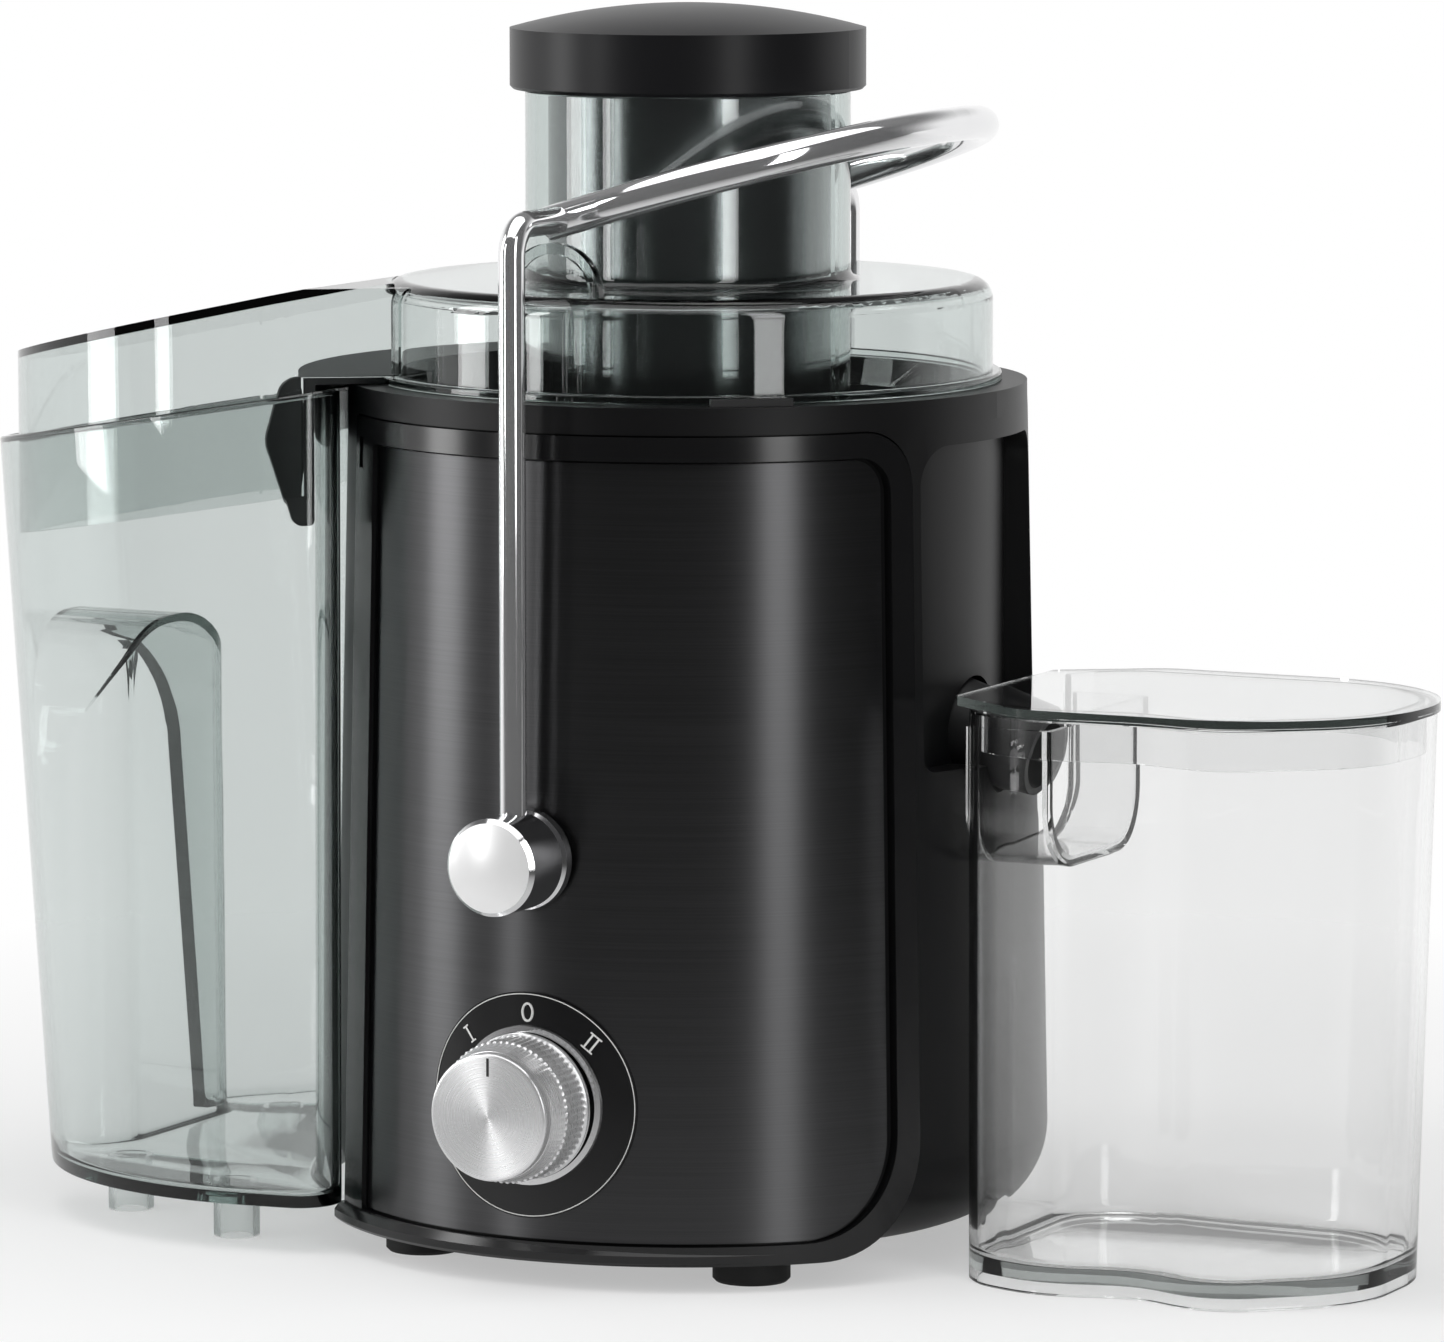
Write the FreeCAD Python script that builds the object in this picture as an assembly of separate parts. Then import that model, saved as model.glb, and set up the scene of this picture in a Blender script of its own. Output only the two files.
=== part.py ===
import FreeCAD, Part
import os
from math import atan2, cos, degrees, hypot, radians, sin, tan
from FreeCAD import Vector

# Centrifugal juicer. Millimetres, +Z up, front towards -Y, juice jug on +X, pulp container on -X.
# Everything is drawn round the motor axis and moved once, at the end, so that the origin is the
# middle of the whole object's footprint.

# ---------------------------------------------------------------- driving sizes
# Clearances
running_gap = 0.06         # shaft in its bearing
pin_gap = 0.05             # arm and knob on their pins
seat_gap = 0.3             # between bodies that move past each other
drop_gap = 0.4             # pieces lifted in and out by hand

# Motor housing
foot_height = 6.6          # table to the housing's lower edge
deck_top = 113.0
deck_thick = 3.0
bowl_room = 100.5          # deck to the face of the collar
housing_top = deck_top + bowl_room
bowl_r = 75.9
bowl_wall = 2.2
collar_width = 8.1         # bowl to the outer skin, at the collar
housing_taper = 4.5        # extra radius at the lower edge
housing_top_r = bowl_r + collar_width
housing_low_r = housing_top_r + housing_taper
housing_wall = 2.8
skin_step = 2.4            # the sheets on the drum are this thick
collar_height = 6.6
collar_low = housing_top - collar_height
side_bay_half = 24.0       # degrees, jug side between frame and rear, either way from +X
heel_r = 21.5              # rounded lower edge of the sides and the rear
pocket_low = deck_top + 10.0
pocket_high = collar_low - 4.9
pocket_half = 22.0         # degrees
pocket_depth = 5.2         # below the drum's surface at its low edge
pocket_corner_r = 10.0
pocket_foot_r = 4.0
seam = 0.4                 # groove between the frame and the housing

# Front frame and panel
frame_left = 223.0         # degrees from +X
frame_top = collar_low - seam
frame_proud = 0.5          # beyond the housing's skin
frame_corner_r = 14.0
skirt_corner_r = 28.0      # lower right corner
window_low = foot_height + 4.8
window_high = frame_top - 5.9
window_left = 231.5
window_right = 331.5
panel_margin = 2.2         # dark channel round the panel
panel_thick = 1.4
panel_corner_r = 9.0
panel_low_corner_r = 25.0
slot_angle = 226.0
slot_high = frame_top - 4.9
slot_length = 7.6
slot_width = 3.0
lip_proud = 1.0            # bead along the frame's lower edge
lip_shift = 1.6            # the bead's centre is this far to the left
lip_height = 4.6

# Bowl
bowl_ledge = housing_top - 43.5    # shoulder that rests on the housing
bowl_low_side = deck_top + 9.0     # floor height under the spout, at the bowl's wall
bowl_floor_slope = 10.6    # degrees
lug_angle = -52.5
lug_half = 10.0
lug_depth = 5.0
lug_reach = bowl_r + 4.5
hub_wall = 2.2
hub_top = deck_top + 45.0
apron_half = 40.0          # degrees, lip that carries pulp over the collar
apron_thick = 2.0
apron_drop = 16.0
hook_drop = 34.7

# Filter basket
basket_floor = hub_top + 3.0
basket_top = housing_top - 10.5
rim_gap = 4.1              # spinning rim to the bowl's wall
rim_r = bowl_r - bowl_wall - rim_gap
rim_width = 2.6
basket_top_r = rim_r - rim_width
basket_flare = 14.0
basket_low_r = basket_top_r - basket_flare
basket_wall = 1.2
basket_plate = 2.0
basket_rows = 3
basket_slots = 24
grater_r = basket_low_r - 3.0
grater_thick = 1.2
grater_teeth = (10, 15, 20)
tooth_height = 2.4
tooth_pitch = 12.0         # between rings

# Lid and chute
lid_r = bowl_r - drop_gap
lid_wall = 2.2
lid_plate = 2.5
lid_rise = 25.0            # lid above the collar
lid_top = housing_top + lid_rise
lid_corner_r = 5.0
flange_width = 2.2         # rim of the lid that rests on the bowl
spigot_depth = 6.5         # lid's rim inside the bowl
chute_r = 40.25
chute_wall = 2.75
chute_height = 46.5
chute_top = lid_top + chute_height
chute_bottom = basket_floor + 10.5
cover_slope = 12.0         # degrees, fall of the pulp cover away from the lid
cover_inset = 6.2          # pulp cover stands this far inside the container's rim
ear_r = 12.8
ear_y = lid_r - 7.5
ear_thick = 3.0

# Pulp container
container_floor = 12.0
container_wall = 2.2
hug_gap = 1.5
container_hug_r = housing_low_r + hug_gap      # concave face round the housing
container_hug_angle = 39.0 # degrees, half of the hugging arc
container_return = 27.0    # straight wall from the hugging arc to the side
container_plate = 2.4      # floor of the container
container_half = container_hug_r + 2.0         # half width where the side lines meet the end line
container_end_r = container_half - 12.0
container_side_r = 10.0
container_depth = 81.0
container_lean = 14.5      # rim beyond the floor at the outer end
container_low_end = container_hug_r + container_depth
container_rim_end = container_low_end + container_lean
container_rim_high = housing_top - seat_gap
container_rim_slope = 9.4  # degrees
rim_start = container_hug_r - 25.0             # where the rim's fall begins
container_foot_r = 5.75
hinge_bead_r = 1.6
hinge_drop = 8.2           # hinge bead below the rim
hinge_x = container_hug_r - 1.2
grip_half = 34.0
grip_depth = 22.0
grip_top = 145.0

# Juice jug
jug_gap = 0.5
jug_left = housing_low_r + jug_gap
jug_length = 108.0
jug_wall = 2.0
jug_floor = 3.4
jug_foot = 3.0             # floor above the table
jug_half = 44.0
jug_draft = 1.2            # narrower at the foot, each side
jug_lean = 4.0             # right end further in at the foot
jug_waist = 5.0
jug_left_r = 20.0
jug_lid_thick = 2.3
jug_lid_edge = 1.6         # lid beyond the jug's rim
jug_lid_tongue = 3.0       # lid beyond the jug's left wall
jug_skirt = 10.0
jug_skirt_wall = 1.5
trough_half = 28.0
trough_depth = 21.5
trough_wall = 1.6

# Juice spout
spout_wall = 2.0
spout_root_r = 12.4
spout_tip_r = 10.25
spout_root_x = bowl_r - 3.4
spout_tip_x = jug_left + 8.0
spout_tip_z = bowl_low_side + 3.0
spout_slope = 14.0         # degrees below level
spout_stem = 12.0          # bore's straight part inside the bowl
spout_room = 1.2           # round the spout where it leaves the housing
jug_height = spout_tip_z + 14.4
trough_low = spout_tip_z - 23.0

# Locking arm
pivot_z = 104.5
arm_leg_r = 3.25
arm_loop_r = 4.2
arm_leg_y = housing_top_r + 10.0
arm_rear_leg_y = housing_top_r + 7.6
arm_top_z = lid_top + 18.5
arm_loop_y = chute_r + 26.75
arm_reach = 71.5
arm_rise = 16.4            # degrees
arm_bend_r = 7.5
cap_r = 11.8
cap_length = 19.5
cap_end = 4.0              # solid end of the cap
cap_gap = 0.7              # cap to the housing
stud_r = 5.0
stud_head = 5.0

# Speed knob
knob_z = 44.4
knob_r = 17.3
knob_proud = 20.0
knob_flutes = 48
knob_cap_r = 15.5
dial_r = 27.5
bezel_r = knob_r + 2.0
bezel_width = 1.4
knob_shaft_r = 3.0
switch_neck_r = 4.3

# Pusher
pusher_fit = 3.0           # pusher's side to the chute's bore
pusher_r = chute_r - chute_wall - pusher_fit
pusher_wall = 2.4
pusher_bottom = chute_bottom + 2.0
pusher_cap_r = chute_r + 3.75
pusher_cap_skirt = 15.0
pusher_dome = 6.0

# Drive
shaft_r = 4.0
coupling_r = 10.0
nose_r = shaft_r + 3.0     # coupling where it carries the basket
boss_r = coupling_r + 3.6  # housing's boss inside the bowl's hub
boss_drop = 8.0            # boss below the top of the hub
hub_bore_r = boss_r + drop_gap
armature_r = 20.5
stator_half = 36.0
stator_flat = 0.86         # narrower from front to rear
stator_low = 50.0
stator_height = 38.0
coil_height = 6.0
bearing_r = 11.0
bearing_height = 7.0
lower_bearing_z = 20.0
upper_bearing_z = deck_top - 11.0
bracket_thick = 3.0
commutator_r = 11.0
commutator_low = lower_bearing_z + bearing_height + 2.0
commutator_height = 12.0
fan_r = 32.0
fan_blades = 9
screw_r = 2.1

# Feet and screws
plate_thick = 2.4
plate_screw_ring = 55.0
plate_screw_r = 1.8
post_r = 4.6
foot_r = 9.5
foot_stem_r = 3.2
front_foot = (45.0, -56.0)
rear_foot = (45.0, 33.0)

Z = Vector(0, 0, 1)
Y = Vector(0, 1, 0)
X = Vector(1, 0, 0)
AXIS = Vector(0, 0, 0)

# The object's footprint, measured from the motor axis
place = Vector((container_rim_end - jug_left - jug_length) / 2, 0, 0)

# The container's hugging face, where its wall turns off to the side
hug_turn = radians(container_hug_angle)
side_x = container_return * sin(hug_turn) - container_hug_r * cos(hug_turn)
side_y = container_return * cos(hug_turn) + container_hug_r * sin(hug_turn)
apron_r = container_hug_r + container_wall + 2.4

plate_screw_angles = (0, 90, 180, 270)
far = 600.0                # past everything
slab_thick = 200.0
nodes = {}


# ---------------------------------------------------------------- helpers
def skin(z):
    """Outer radius of the housing's conical skin at height z."""
    share = (z - foot_height) / (housing_top - foot_height)
    return housing_low_r + (housing_top_r - housing_low_r) * share


def drum(z):
    return skin(z) - skin_step


heel_top = foot_height + heel_r
opening_r = drum(heel_top) - heel_r            # opening in the housing's underside


def polar(r, angle, z=0.0):
    a = radians(angle)
    return Vector(r * cos(a), r * sin(a), z)


def face_of(points):
    """Flat face inside a closed run of straight lines."""
    return Part.Face(Part.makePolygon(list(points) + [points[0]]))


def turned(profile, start=0.0, sweep=360.0):
    """Solid of revolution about Z from (radius, height) points, over a sector in degrees."""
    face = face_of([Vector(r, 0, z) for r, z in profile])
    if sweep < 360.0:
        face.rotate(AXIS, Z, start)
    return face.revolve(AXIS, Z, sweep)


def shell_band(inner, outer, low, high, start=0.0, sweep=360.0):
    """Sector of a conical band; inner and outer are radius functions of height."""
    profile = [(inner(low), low), (outer(low), low), (outer(high), high), (inner(high), high)]
    return turned(profile, start, sweep)


def turned_round(corners, start=0.0, sweep=360.0):
    """Solid of revolution about Z from (radius, height, fillet) corners."""
    face = Part.Face(rounded_wire(corners, 0))
    face.rotate(AXIS, X, 90)
    face.rotate(AXIS, Z, start)
    return face.revolve(AXIS, Z, sweep)


def tube(r_out, r_in, low, high):
    profile = [(r_in, low), (r_out, low), (r_out, high), (r_in, high)]
    return turned(profile)


def rod(r, length, base, direction=Z):
    return Part.makeCylinder(r, length, base, direction)


def block(low, high):
    size = high - low
    return Part.makeBox(size.x, size.y, size.z, low)


def fuse(shapes):
    whole = shapes[0].multiFuse(shapes[1:])
    return whole.removeSplitter()


def around(shape, count, start=0.0, centre=AXIS, axis=Z):
    """Copies of a shape turned evenly about an axis."""
    copies = []
    for i in range(count):
        copy = shape.copy()
        copy.rotate(centre, axis, start + 360.0 * i / count)
        copies.append(copy)
    return copies


def inset_corners(corners, t):
    """Move each side of a counter-clockwise outline inwards by t; corners are (x, y, radius)."""
    count = len(corners)
    moved = []
    for i in range(count):
        x, y, r = corners[i]
        px, py, _ = corners[i - 1]
        nx, ny, _ = corners[(i + 1) % count]
        before = Vector(x - px, y - py, 0).normalize()
        after = Vector(nx - x, ny - y, 0).normalize()
        n1 = Vector(-before.y, before.x, 0)
        n2 = Vector(-after.y, after.x, 0)
        shift = (n1 + n2) * (t / (1 + n1.dot(n2)))
        convex = before.cross(after).z > 0
        radius = max(r - t, 0.4) if convex else r + t
        moved.append((x + shift.x, y + shift.y, radius))
    return moved


def rounded_wire(corners, z):
    """Closed wire of straight sides joined by tangent arcs, at height z; radius 0 is a sharp corner."""
    count = len(corners)
    starts = []
    mids = []
    ends = []
    for i in range(count):
        x, y, r = corners[i]
        p = Vector(x, y, z)
        before = (Vector(corners[i - 1][0], corners[i - 1][1], z) - p).normalize()
        after = (Vector(corners[(i + 1) % count][0], corners[(i + 1) % count][1], z) - p).normalize()
        half = before.getAngle(after) / 2
        reach = r / tan(half)
        middle = (before + after).normalize()
        centre = p + middle * (r / sin(half))
        starts.append(p + before * reach)
        mids.append(centre - middle * r)
        ends.append(p + after * reach)
    edges = []
    for i in range(count):
        if corners[i][2] > 0:
            edges.append(Part.Arc(starts[i], mids[i], ends[i]).toShape())
        edges.append(Part.LineSegment(ends[i], starts[(i + 1) % count]).toShape())
    return Part.Wire(edges)


def prism(corners, low, high):
    return Part.Face(rounded_wire(corners, low)).extrude(Vector(0, 0, high - low))


def drafted(low_corners, high_corners, low, high):
    """Straight-sided solid between two rounded outlines with the same corners."""
    wires = [rounded_wire(low_corners, low), rounded_wire(high_corners, high)]
    return Part.makeLoft(wires, True, True)


def slanted_slab(x, z, slope):
    """Half space above a plane that falls towards -X by slope degrees and passes (x, z)."""
    slab = block(Vector(-far, -far, 0), Vector(far, far, slab_thick))
    slab.rotate(AXIS, Y, -slope)
    slab.translate(Vector(x, 0, z))
    return slab


def corner_cut(angle, z, radius, r_outer, right, down):
    """Waste outside a rounded corner of a curved sheet whose sharp corner is at (angle, z)."""
    sx = 1 if right else -1
    sz = -1 if down else 1
    spare = 1.5
    inner = Vector(0, -sx * radius, z - sz * radius)
    low = Vector(r_outer - 14, min(inner.y, sx * spare), min(inner.z, z + sz * spare))
    high = Vector(r_outer + 8, max(inner.y, sx * spare), max(inner.z, z + sz * spare))
    waste = block(low, high).cut(rod(radius, 22, Vector(r_outer - 14, inner.y, inner.z), X))
    waste.rotate(AXIS, Z, angle)
    return waste


def filleted_path(points, radii):
    """Wire of straight runs joined by tangent arcs through 3-D points."""
    edges = []
    last = points[0]
    for i in range(1, len(points) - 1):
        p = points[i]
        before = (points[i - 1] - p).normalize()
        after = (points[i + 1] - p).normalize()
        half = before.getAngle(after) / 2
        reach = radii[i - 1] / tan(half)
        middle = (before + after).normalize()
        start = p + before * reach
        end = p + after * reach
        mid = p + middle * (radii[i - 1] / sin(half) - radii[i - 1])
        if (start - last).Length > 0.01:
            edges.append(Part.LineSegment(last, start).toShape())
        edges.append(Part.Arc(start, mid, end).toShape())
        last = end
    edges.append(Part.LineSegment(last, points[-1]).toShape())
    return Part.Wire(edges)


def round_bar(points, radii, r):
    path = filleted_path(points, radii)
    direction = (points[1] - points[0]).normalize()
    section = Part.Wire(Part.Circle(points[0], direction, r).toShape())
    return path.makePipeShell([section], True, False)


def keep(name, shape):
    nodes[name] = shape


# ---------------------------------------------------------------- housing
def heel(r, start, sweep):
    """Waste outside the rounded lower edge of a drum whose radius is r where the rounding starts."""
    centre = Vector(0, 0, heel_top)
    ring = turned([(r - heel_r, foot_height - 1), (r + 8, foot_height - 1),
                   (r + 8, heel_top), (r - heel_r, heel_top)], start, sweep)
    return ring.cut(Part.makeTorus(r - heel_r, heel_r, centre, Z))


def motor_room():
    """Room under the deck, with the lower edge rounded to keep the wall even."""
    top = deck_top - deck_thick
    inner = drum(heel_top) - housing_wall
    room = turned([(0, 0), (opening_r, 0), (opening_r, heel_top), (inner, heel_top),
                   (drum(top) - housing_wall, top), (0, top)])
    centre = Vector(0, 0, heel_top)
    return room.fuse(Part.makeTorus(opening_r, heel_r - housing_wall, centre, Z))


def side_pocket():
    """Recess on the jug side, where the spout comes out."""
    low_r = drum(pocket_low) - pocket_depth
    pocket = shell_band(lambda z: low_r, lambda z: housing_low_r + 3, pocket_low, pocket_high,
                        -pocket_half, 2 * pocket_half)
    for angle, right in ((-pocket_half, False), (pocket_half, True)):
        for z, radius, down in ((pocket_low, pocket_foot_r, True), (pocket_high, pocket_corner_r, False)):
            pocket = pocket.cut(corner_cut(angle, z, radius, skin(z), right, down))
    return pocket


def frame_slot():
    """Narrow slot near the frame's upper left corner."""
    slot = block(Vector(skin(slot_high) - 3, -slot_width / 2, slot_high - slot_length),
                 Vector(skin(slot_high) + 5, slot_width / 2, slot_high))
    slot.rotate(AXIS, Z, slot_angle)
    return slot


def front_hole(r):
    """Round hole through the front at the knob's height."""
    return rod(r, 60, Vector(0, -60, knob_z), -Y)


def make_base_housing():
    body = turned([(0, foot_height), (drum(foot_height), foot_height),
                   (drum(housing_top), housing_top), (0, housing_top)])
    sheet_start = -side_bay_half - degrees(skirt_corner_r / housing_low_r) - 2
    sheet = shell_band(lambda z: drum(z) - 1, skin, foot_height, collar_low,
                       sheet_start, frame_left - sheet_start)
    sheet = sheet.cut(frame_form(seam))
    collar = shell_band(lambda z: drum(z) - 1, skin, collar_low, housing_top)
    body = body.multiFuse([sheet, collar])
    body = body.cut(heel(skin(heel_top), sheet_start, frame_left - sheet_start))
    posts = []
    for angle in plate_screw_angles:
        base = polar(plate_screw_ring, angle, foot_height + plate_thick + 0.2)
        gusset = block(Vector(plate_screw_ring, -1.5, base.z), Vector(housing_low_r, 1.5, base.z + 12))
        gusset.rotate(AXIS, Z, angle)
        post = rod(post_r, 14, base).fuse(gusset.common(body))
        posts.append(post.cut(rod(plate_screw_r, 10, base)))
    body = body.cut(motor_room()).cut(side_pocket())
    well_r = bowl_r - bowl_wall + drop_gap
    well = turned([(0, deck_top), (well_r, deck_top), (well_r, bowl_ledge), (bowl_r + drop_gap, bowl_ledge),
                   (bowl_r + drop_gap, housing_top + 1), (0, housing_top + 1)])
    body = body.cut(well)
    boss = tube(boss_r, coupling_r + seat_gap, deck_top - 1, hub_top - boss_drop)
    body = fuse([body, boss] + posts)
    body = body.cut(rod(coupling_r + seat_gap, bowl_room, Vector(0, 0, deck_top - deck_thick)))
    body = body.cut(spout_cone(spout_root_r + spout_room, spout_tip_r + spout_room, 2 * spout_stem))
    body = body.cut(lug(drop_gap))
    body = body.cut(frame_slot())
    half_seam = degrees(seam / 2 / housing_low_r)
    body = body.cut(shell_band(lambda z: skin(z) - seam, lambda z: skin(z) + 1, heel_top, collar_low,
                               side_bay_half - half_seam, 2 * half_seam))
    for y in (-1, 1):
        body = body.cut(rod(stud_r, 40, Vector(0, y * 60, pivot_z), Y * y))
    for x in (-1, 1):
        body = body.cut(rod(foot_stem_r, 20, Vector(x * front_foot[0], front_foot[1], 0)))
    return body.cut(front_hole(switch_neck_r + 0.2))


def frame_form(grow=0.0):
    """Front frame as a plain curved sheet with its two round corners; grow adds a gap round it."""
    right = 360 - side_bay_half + degrees(grow / housing_low_r)
    top = frame_top + grow
    ring = shell_band(drum, lambda z: skin(z) + frame_proud, foot_height, top, frame_left, right - frame_left)
    ring = ring.cut(corner_cut(right, foot_height, skirt_corner_r, skin(foot_height), True, True))
    return ring.cut(corner_cut(right, top, frame_corner_r, skin(top), True, False))


def lower_lip():
    """Bead along the frame's foot, set off to the left so that it fades out on the right."""
    r = housing_low_r + frame_proud
    profile = [(r - 3, foot_height), (r + lip_proud - 0.8, foot_height), (r + lip_proud, foot_height + 0.8),
               (r + lip_proud, foot_height + lip_height - 2.0), (r - 0.4, foot_height + lip_height),
               (r - 3, foot_height + lip_height)]
    sweep = 360 - side_bay_half - degrees(skirt_corner_r / housing_low_r) - frame_left
    lip = turned(profile, frame_left, sweep)
    lip.translate(Vector(-lip_shift, 0, 0))
    return lip.cut(turned([(0, 0), (drum(0), 0), (drum(20), 20), (0, 20)]))


def make_front_frame():
    window = shell_band(lambda z: drum(z) - 2, lambda z: skin(z) + 3, window_low, window_high,
                        window_left, window_right - window_left)
    window = window.cut(corner_cut(window_right, window_low, panel_low_corner_r,
                                   skin(window_low), True, True))
    window = window.cut(corner_cut(window_right, window_high, panel_corner_r,
                                   skin(window_high), True, False))
    return fuse([frame_form().cut(window), lower_lip()]).cut(frame_slot())


def make_front_panel():
    face_r = lambda z: drum(z) + panel_thick
    margin = degrees(panel_margin / skin(window_low))
    right = window_right - margin
    left = window_left + margin / 4
    low = window_low + panel_margin / 4
    high = window_high - panel_margin / 4
    sheet = shell_band(drum, face_r, low, high, left, right - left)
    sheet = sheet.cut(corner_cut(right, low, panel_low_corner_r - 1, skin(low), True, True))
    sheet = sheet.cut(corner_cut(right, high, panel_corner_r - 1, skin(high), True, False))
    sheet = sheet.cut(rod(stud_r + 3, 60, Vector(0, -60, pivot_z), -Y))
    return sheet.cut(front_hole(switch_neck_r + 0.2))


def lug(gap=0.0):
    """Small key on the bowl's rim that drops into a notch of the collar."""
    low = housing_top - lug_depth - gap
    half = lug_half + gap
    reach = lug_reach + gap
    key = block(Vector(bowl_r - 1, -half, low), Vector(reach, half, housing_top - 0.3))
    tab = block(Vector(lid_r + flange_width + seat_gap, -half, low), Vector(reach, half, housing_top + 1.7))
    piece = key.fuse(tab)
    piece.rotate(AXIS, Z, lug_angle)
    return piece


# ---------------------------------------------------------------- bowl
def spout_cone(r_root, r_tip, back):
    """Tapered spout body, run back into the bowl by a straight stem."""
    slope = radians(spout_slope)
    direction = Vector(cos(slope), 0, -sin(slope))
    tip = Vector(spout_tip_x, 0, spout_tip_z)
    length = (spout_tip_x - spout_root_x) / cos(slope)
    cone = Part.makeCone(r_root, r_tip, length, tip - direction * length, direction)
    stem = rod(r_root, back, tip - direction * (length + back), direction)
    return cone.fuse(stem)


def under_floor(inset=0.0):
    """Everything below the bowl's sloping underside, or below its floor when inset by the wall."""
    below = slanted_slab(0, 0, -bowl_floor_slope)
    slope = radians(bowl_floor_slope)
    surface = Vector(slab_thick * sin(slope), 0, slab_thick * cos(slope))
    below.translate(Vector(bowl_r, 0, bowl_low_side + inset) - surface)
    return below


def bowl_form(inset):
    """Bowl volume: stepped cylinder cut below by the sloping floor."""
    step_r = bowl_r - bowl_wall - inset
    wide_r = bowl_r - inset
    ledge = bowl_ledge + inset
    top = housing_top - seat_gap
    form = turned([(0, deck_top), (step_r, deck_top), (step_r, ledge), (wide_r, ledge), (wide_r, top),
                   (0, top)])
    return form.cut(under_floor(inset))


def pulp_lip():
    """Apron that bridges the collar and guides pulp into the container, with two hooked cheeks."""
    over = housing_top + 0.2
    top = over + apron_thick
    root = bowl_r - bowl_wall
    fall = over - apron_drop
    apron = turned([(root, over - 2.5), (bowl_r, over - 2.5), (bowl_r, over), (apron_r, over), (apron_r, fall),
                    (apron_r + apron_thick, fall), (apron_r + apron_thick, top), (root, top)],
                   180 - apron_half, 2 * apron_half)
    hook = over - hook_drop
    wire = rounded_wire([(apron_r - 0.6, hook, 1.5), (apron_r + 4.9, hook, 3.0),
                         (apron_r + 11.4, over - 13.7, 8.0), (apron_r + 7.4, top, 5.0),
                         (apron_r - 0.6, top, 0.6)], 0)
    cheeks = []
    for side in (-1, 1):
        cheek = Part.Face(wire).extrude(Vector(0, 0, 1.2 * apron_thick))
        cheek.rotate(AXIS, X, 90)
        cheek.translate(Vector(0, 0.6 * apron_thick, 0))
        cheek.rotate(AXIS, Z, 180 + side * (apron_half - 0.9))
        cheeks.append(cheek)
    return fuse([apron] + cheeks)


def make_juice_bowl():
    shell = bowl_form(0).cut(bowl_form(bowl_wall))
    shell = shell.fuse(spout_cone(spout_root_r, spout_tip_r, spout_stem + 6).cut(bowl_form(1.0)))
    bore = spout_cone(spout_root_r - spout_wall, spout_tip_r - spout_wall, spout_stem)
    slope = radians(spout_slope)
    mouth = bore.translated(Vector(spout_wall * cos(slope), 0, -spout_wall * sin(slope)))
    shell = shell.cut(bore).cut(mouth)
    hub = tube(hub_bore_r + hub_wall, hub_bore_r, deck_top, hub_top).cut(under_floor())
    shell = shell.cut(rod(hub_bore_r, hub_top - deck_top, Vector(0, 0, deck_top)))
    rim_key = lug().cut(rod(bowl_r - 0.5, bowl_room, Vector(0, 0, deck_top)))
    return fuse([shell, hub, pulp_lip(), rim_key])


# ---------------------------------------------------------------- pulp container
def counter_clockwise(corners):
    """The same outline, run counter-clockwise seen from above."""
    area = 0.0
    for i in range(len(corners)):
        x0, y0, _ = corners[i - 1]
        x1, y1, _ = corners[i]
        area += x0 * y1 - x1 * y0
    return corners if area > 0 else list(reversed(corners))


def container_solid(inset, low):
    """Leaning D-shaped body, hollowed on its +X side to hug the housing."""
    neck = container_hug_r / cos(radians(container_hug_angle))
    slope = (container_half - side_y) / (container_low_end + side_x)
    d_half = side_y + side_x * slope
    out_half = side_y + (far + side_x) * slope
    d_plan = [(-container_low_end, -container_half, container_end_r), (0, -d_half, 5),
              (0, d_half, 5), (-container_low_end, container_half, container_end_r)]
    hug_plan = [(-neck, 0, container_hug_r), (side_x, side_y, container_side_r), (-far, out_half, 5),
                (-far, -out_half, 5), (side_x, -side_y, container_side_r)]
    high = container_rim_high + 10
    lean = container_lean / (container_rim_high - container_floor)
    face = Part.Face(rounded_wire(inset_corners(counter_clockwise(d_plan), inset), 0))
    leaning = face.extrude(Vector(-lean * high, 0, high))
    leaning.translate(Vector(lean * container_floor, 0, 0))
    solid = leaning.common(prism(inset_corners(counter_clockwise(hug_plan), inset), 0, high))
    return solid.cut(block(Vector(-far, -far, -10), Vector(far, far, low)))


def grip_form(grow):
    """Hollow for the fingers in the container's outer end, arched at its top."""
    deep = -container_low_end + grip_depth + grow
    out = -container_rim_end - 30
    half = grip_half + grow
    high = grip_top + grow
    plan = [(deep, -half, 14 + grow), (deep, half, 14 + grow), (out, half, 1.0), (out, -half, 1.0)]
    body = prism(counter_clockwise(plan), -5, high + 5)
    wire = rounded_wire([(-half, -5, 0.5), (half, -5, 0.5), (half, high, half * 0.95),
                         (-half, high, half * 0.95)], 0)
    arch = Part.Face(wire).extrude(Vector(0, 0, far))
    arch.rotate(AXIS, Vector(1, 1, 1), 120)
    arch.translate(Vector(-far, 0, 0))
    return body.common(arch)


def make_pulp_container():
    outer = container_solid(0, container_floor).cut(grip_form(0))
    inner = container_solid(container_wall, container_floor + container_plate)
    inner = inner.cut(grip_form(container_wall))
    body = outer.cut(inner)
    body = body.cut(slanted_slab(-rim_start, container_rim_high, container_rim_slope))
    pieces = [rod(hinge_bead_r, 20, Vector(-hinge_x, -10, container_rim_high - hinge_drop), Y)]
    for out, inwards in ((48, 52), (6, 32)):
        for side in (-1, 1):
            base = Vector(-container_hug_r - out, side * (container_half - inwards), 0)
            foot = rod(container_foot_r, container_floor + 1, base)
            pieces.append(foot.cut(rod(container_foot_r - 1.6, container_floor, base)))
    return fuse([body] + pieces)


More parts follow.
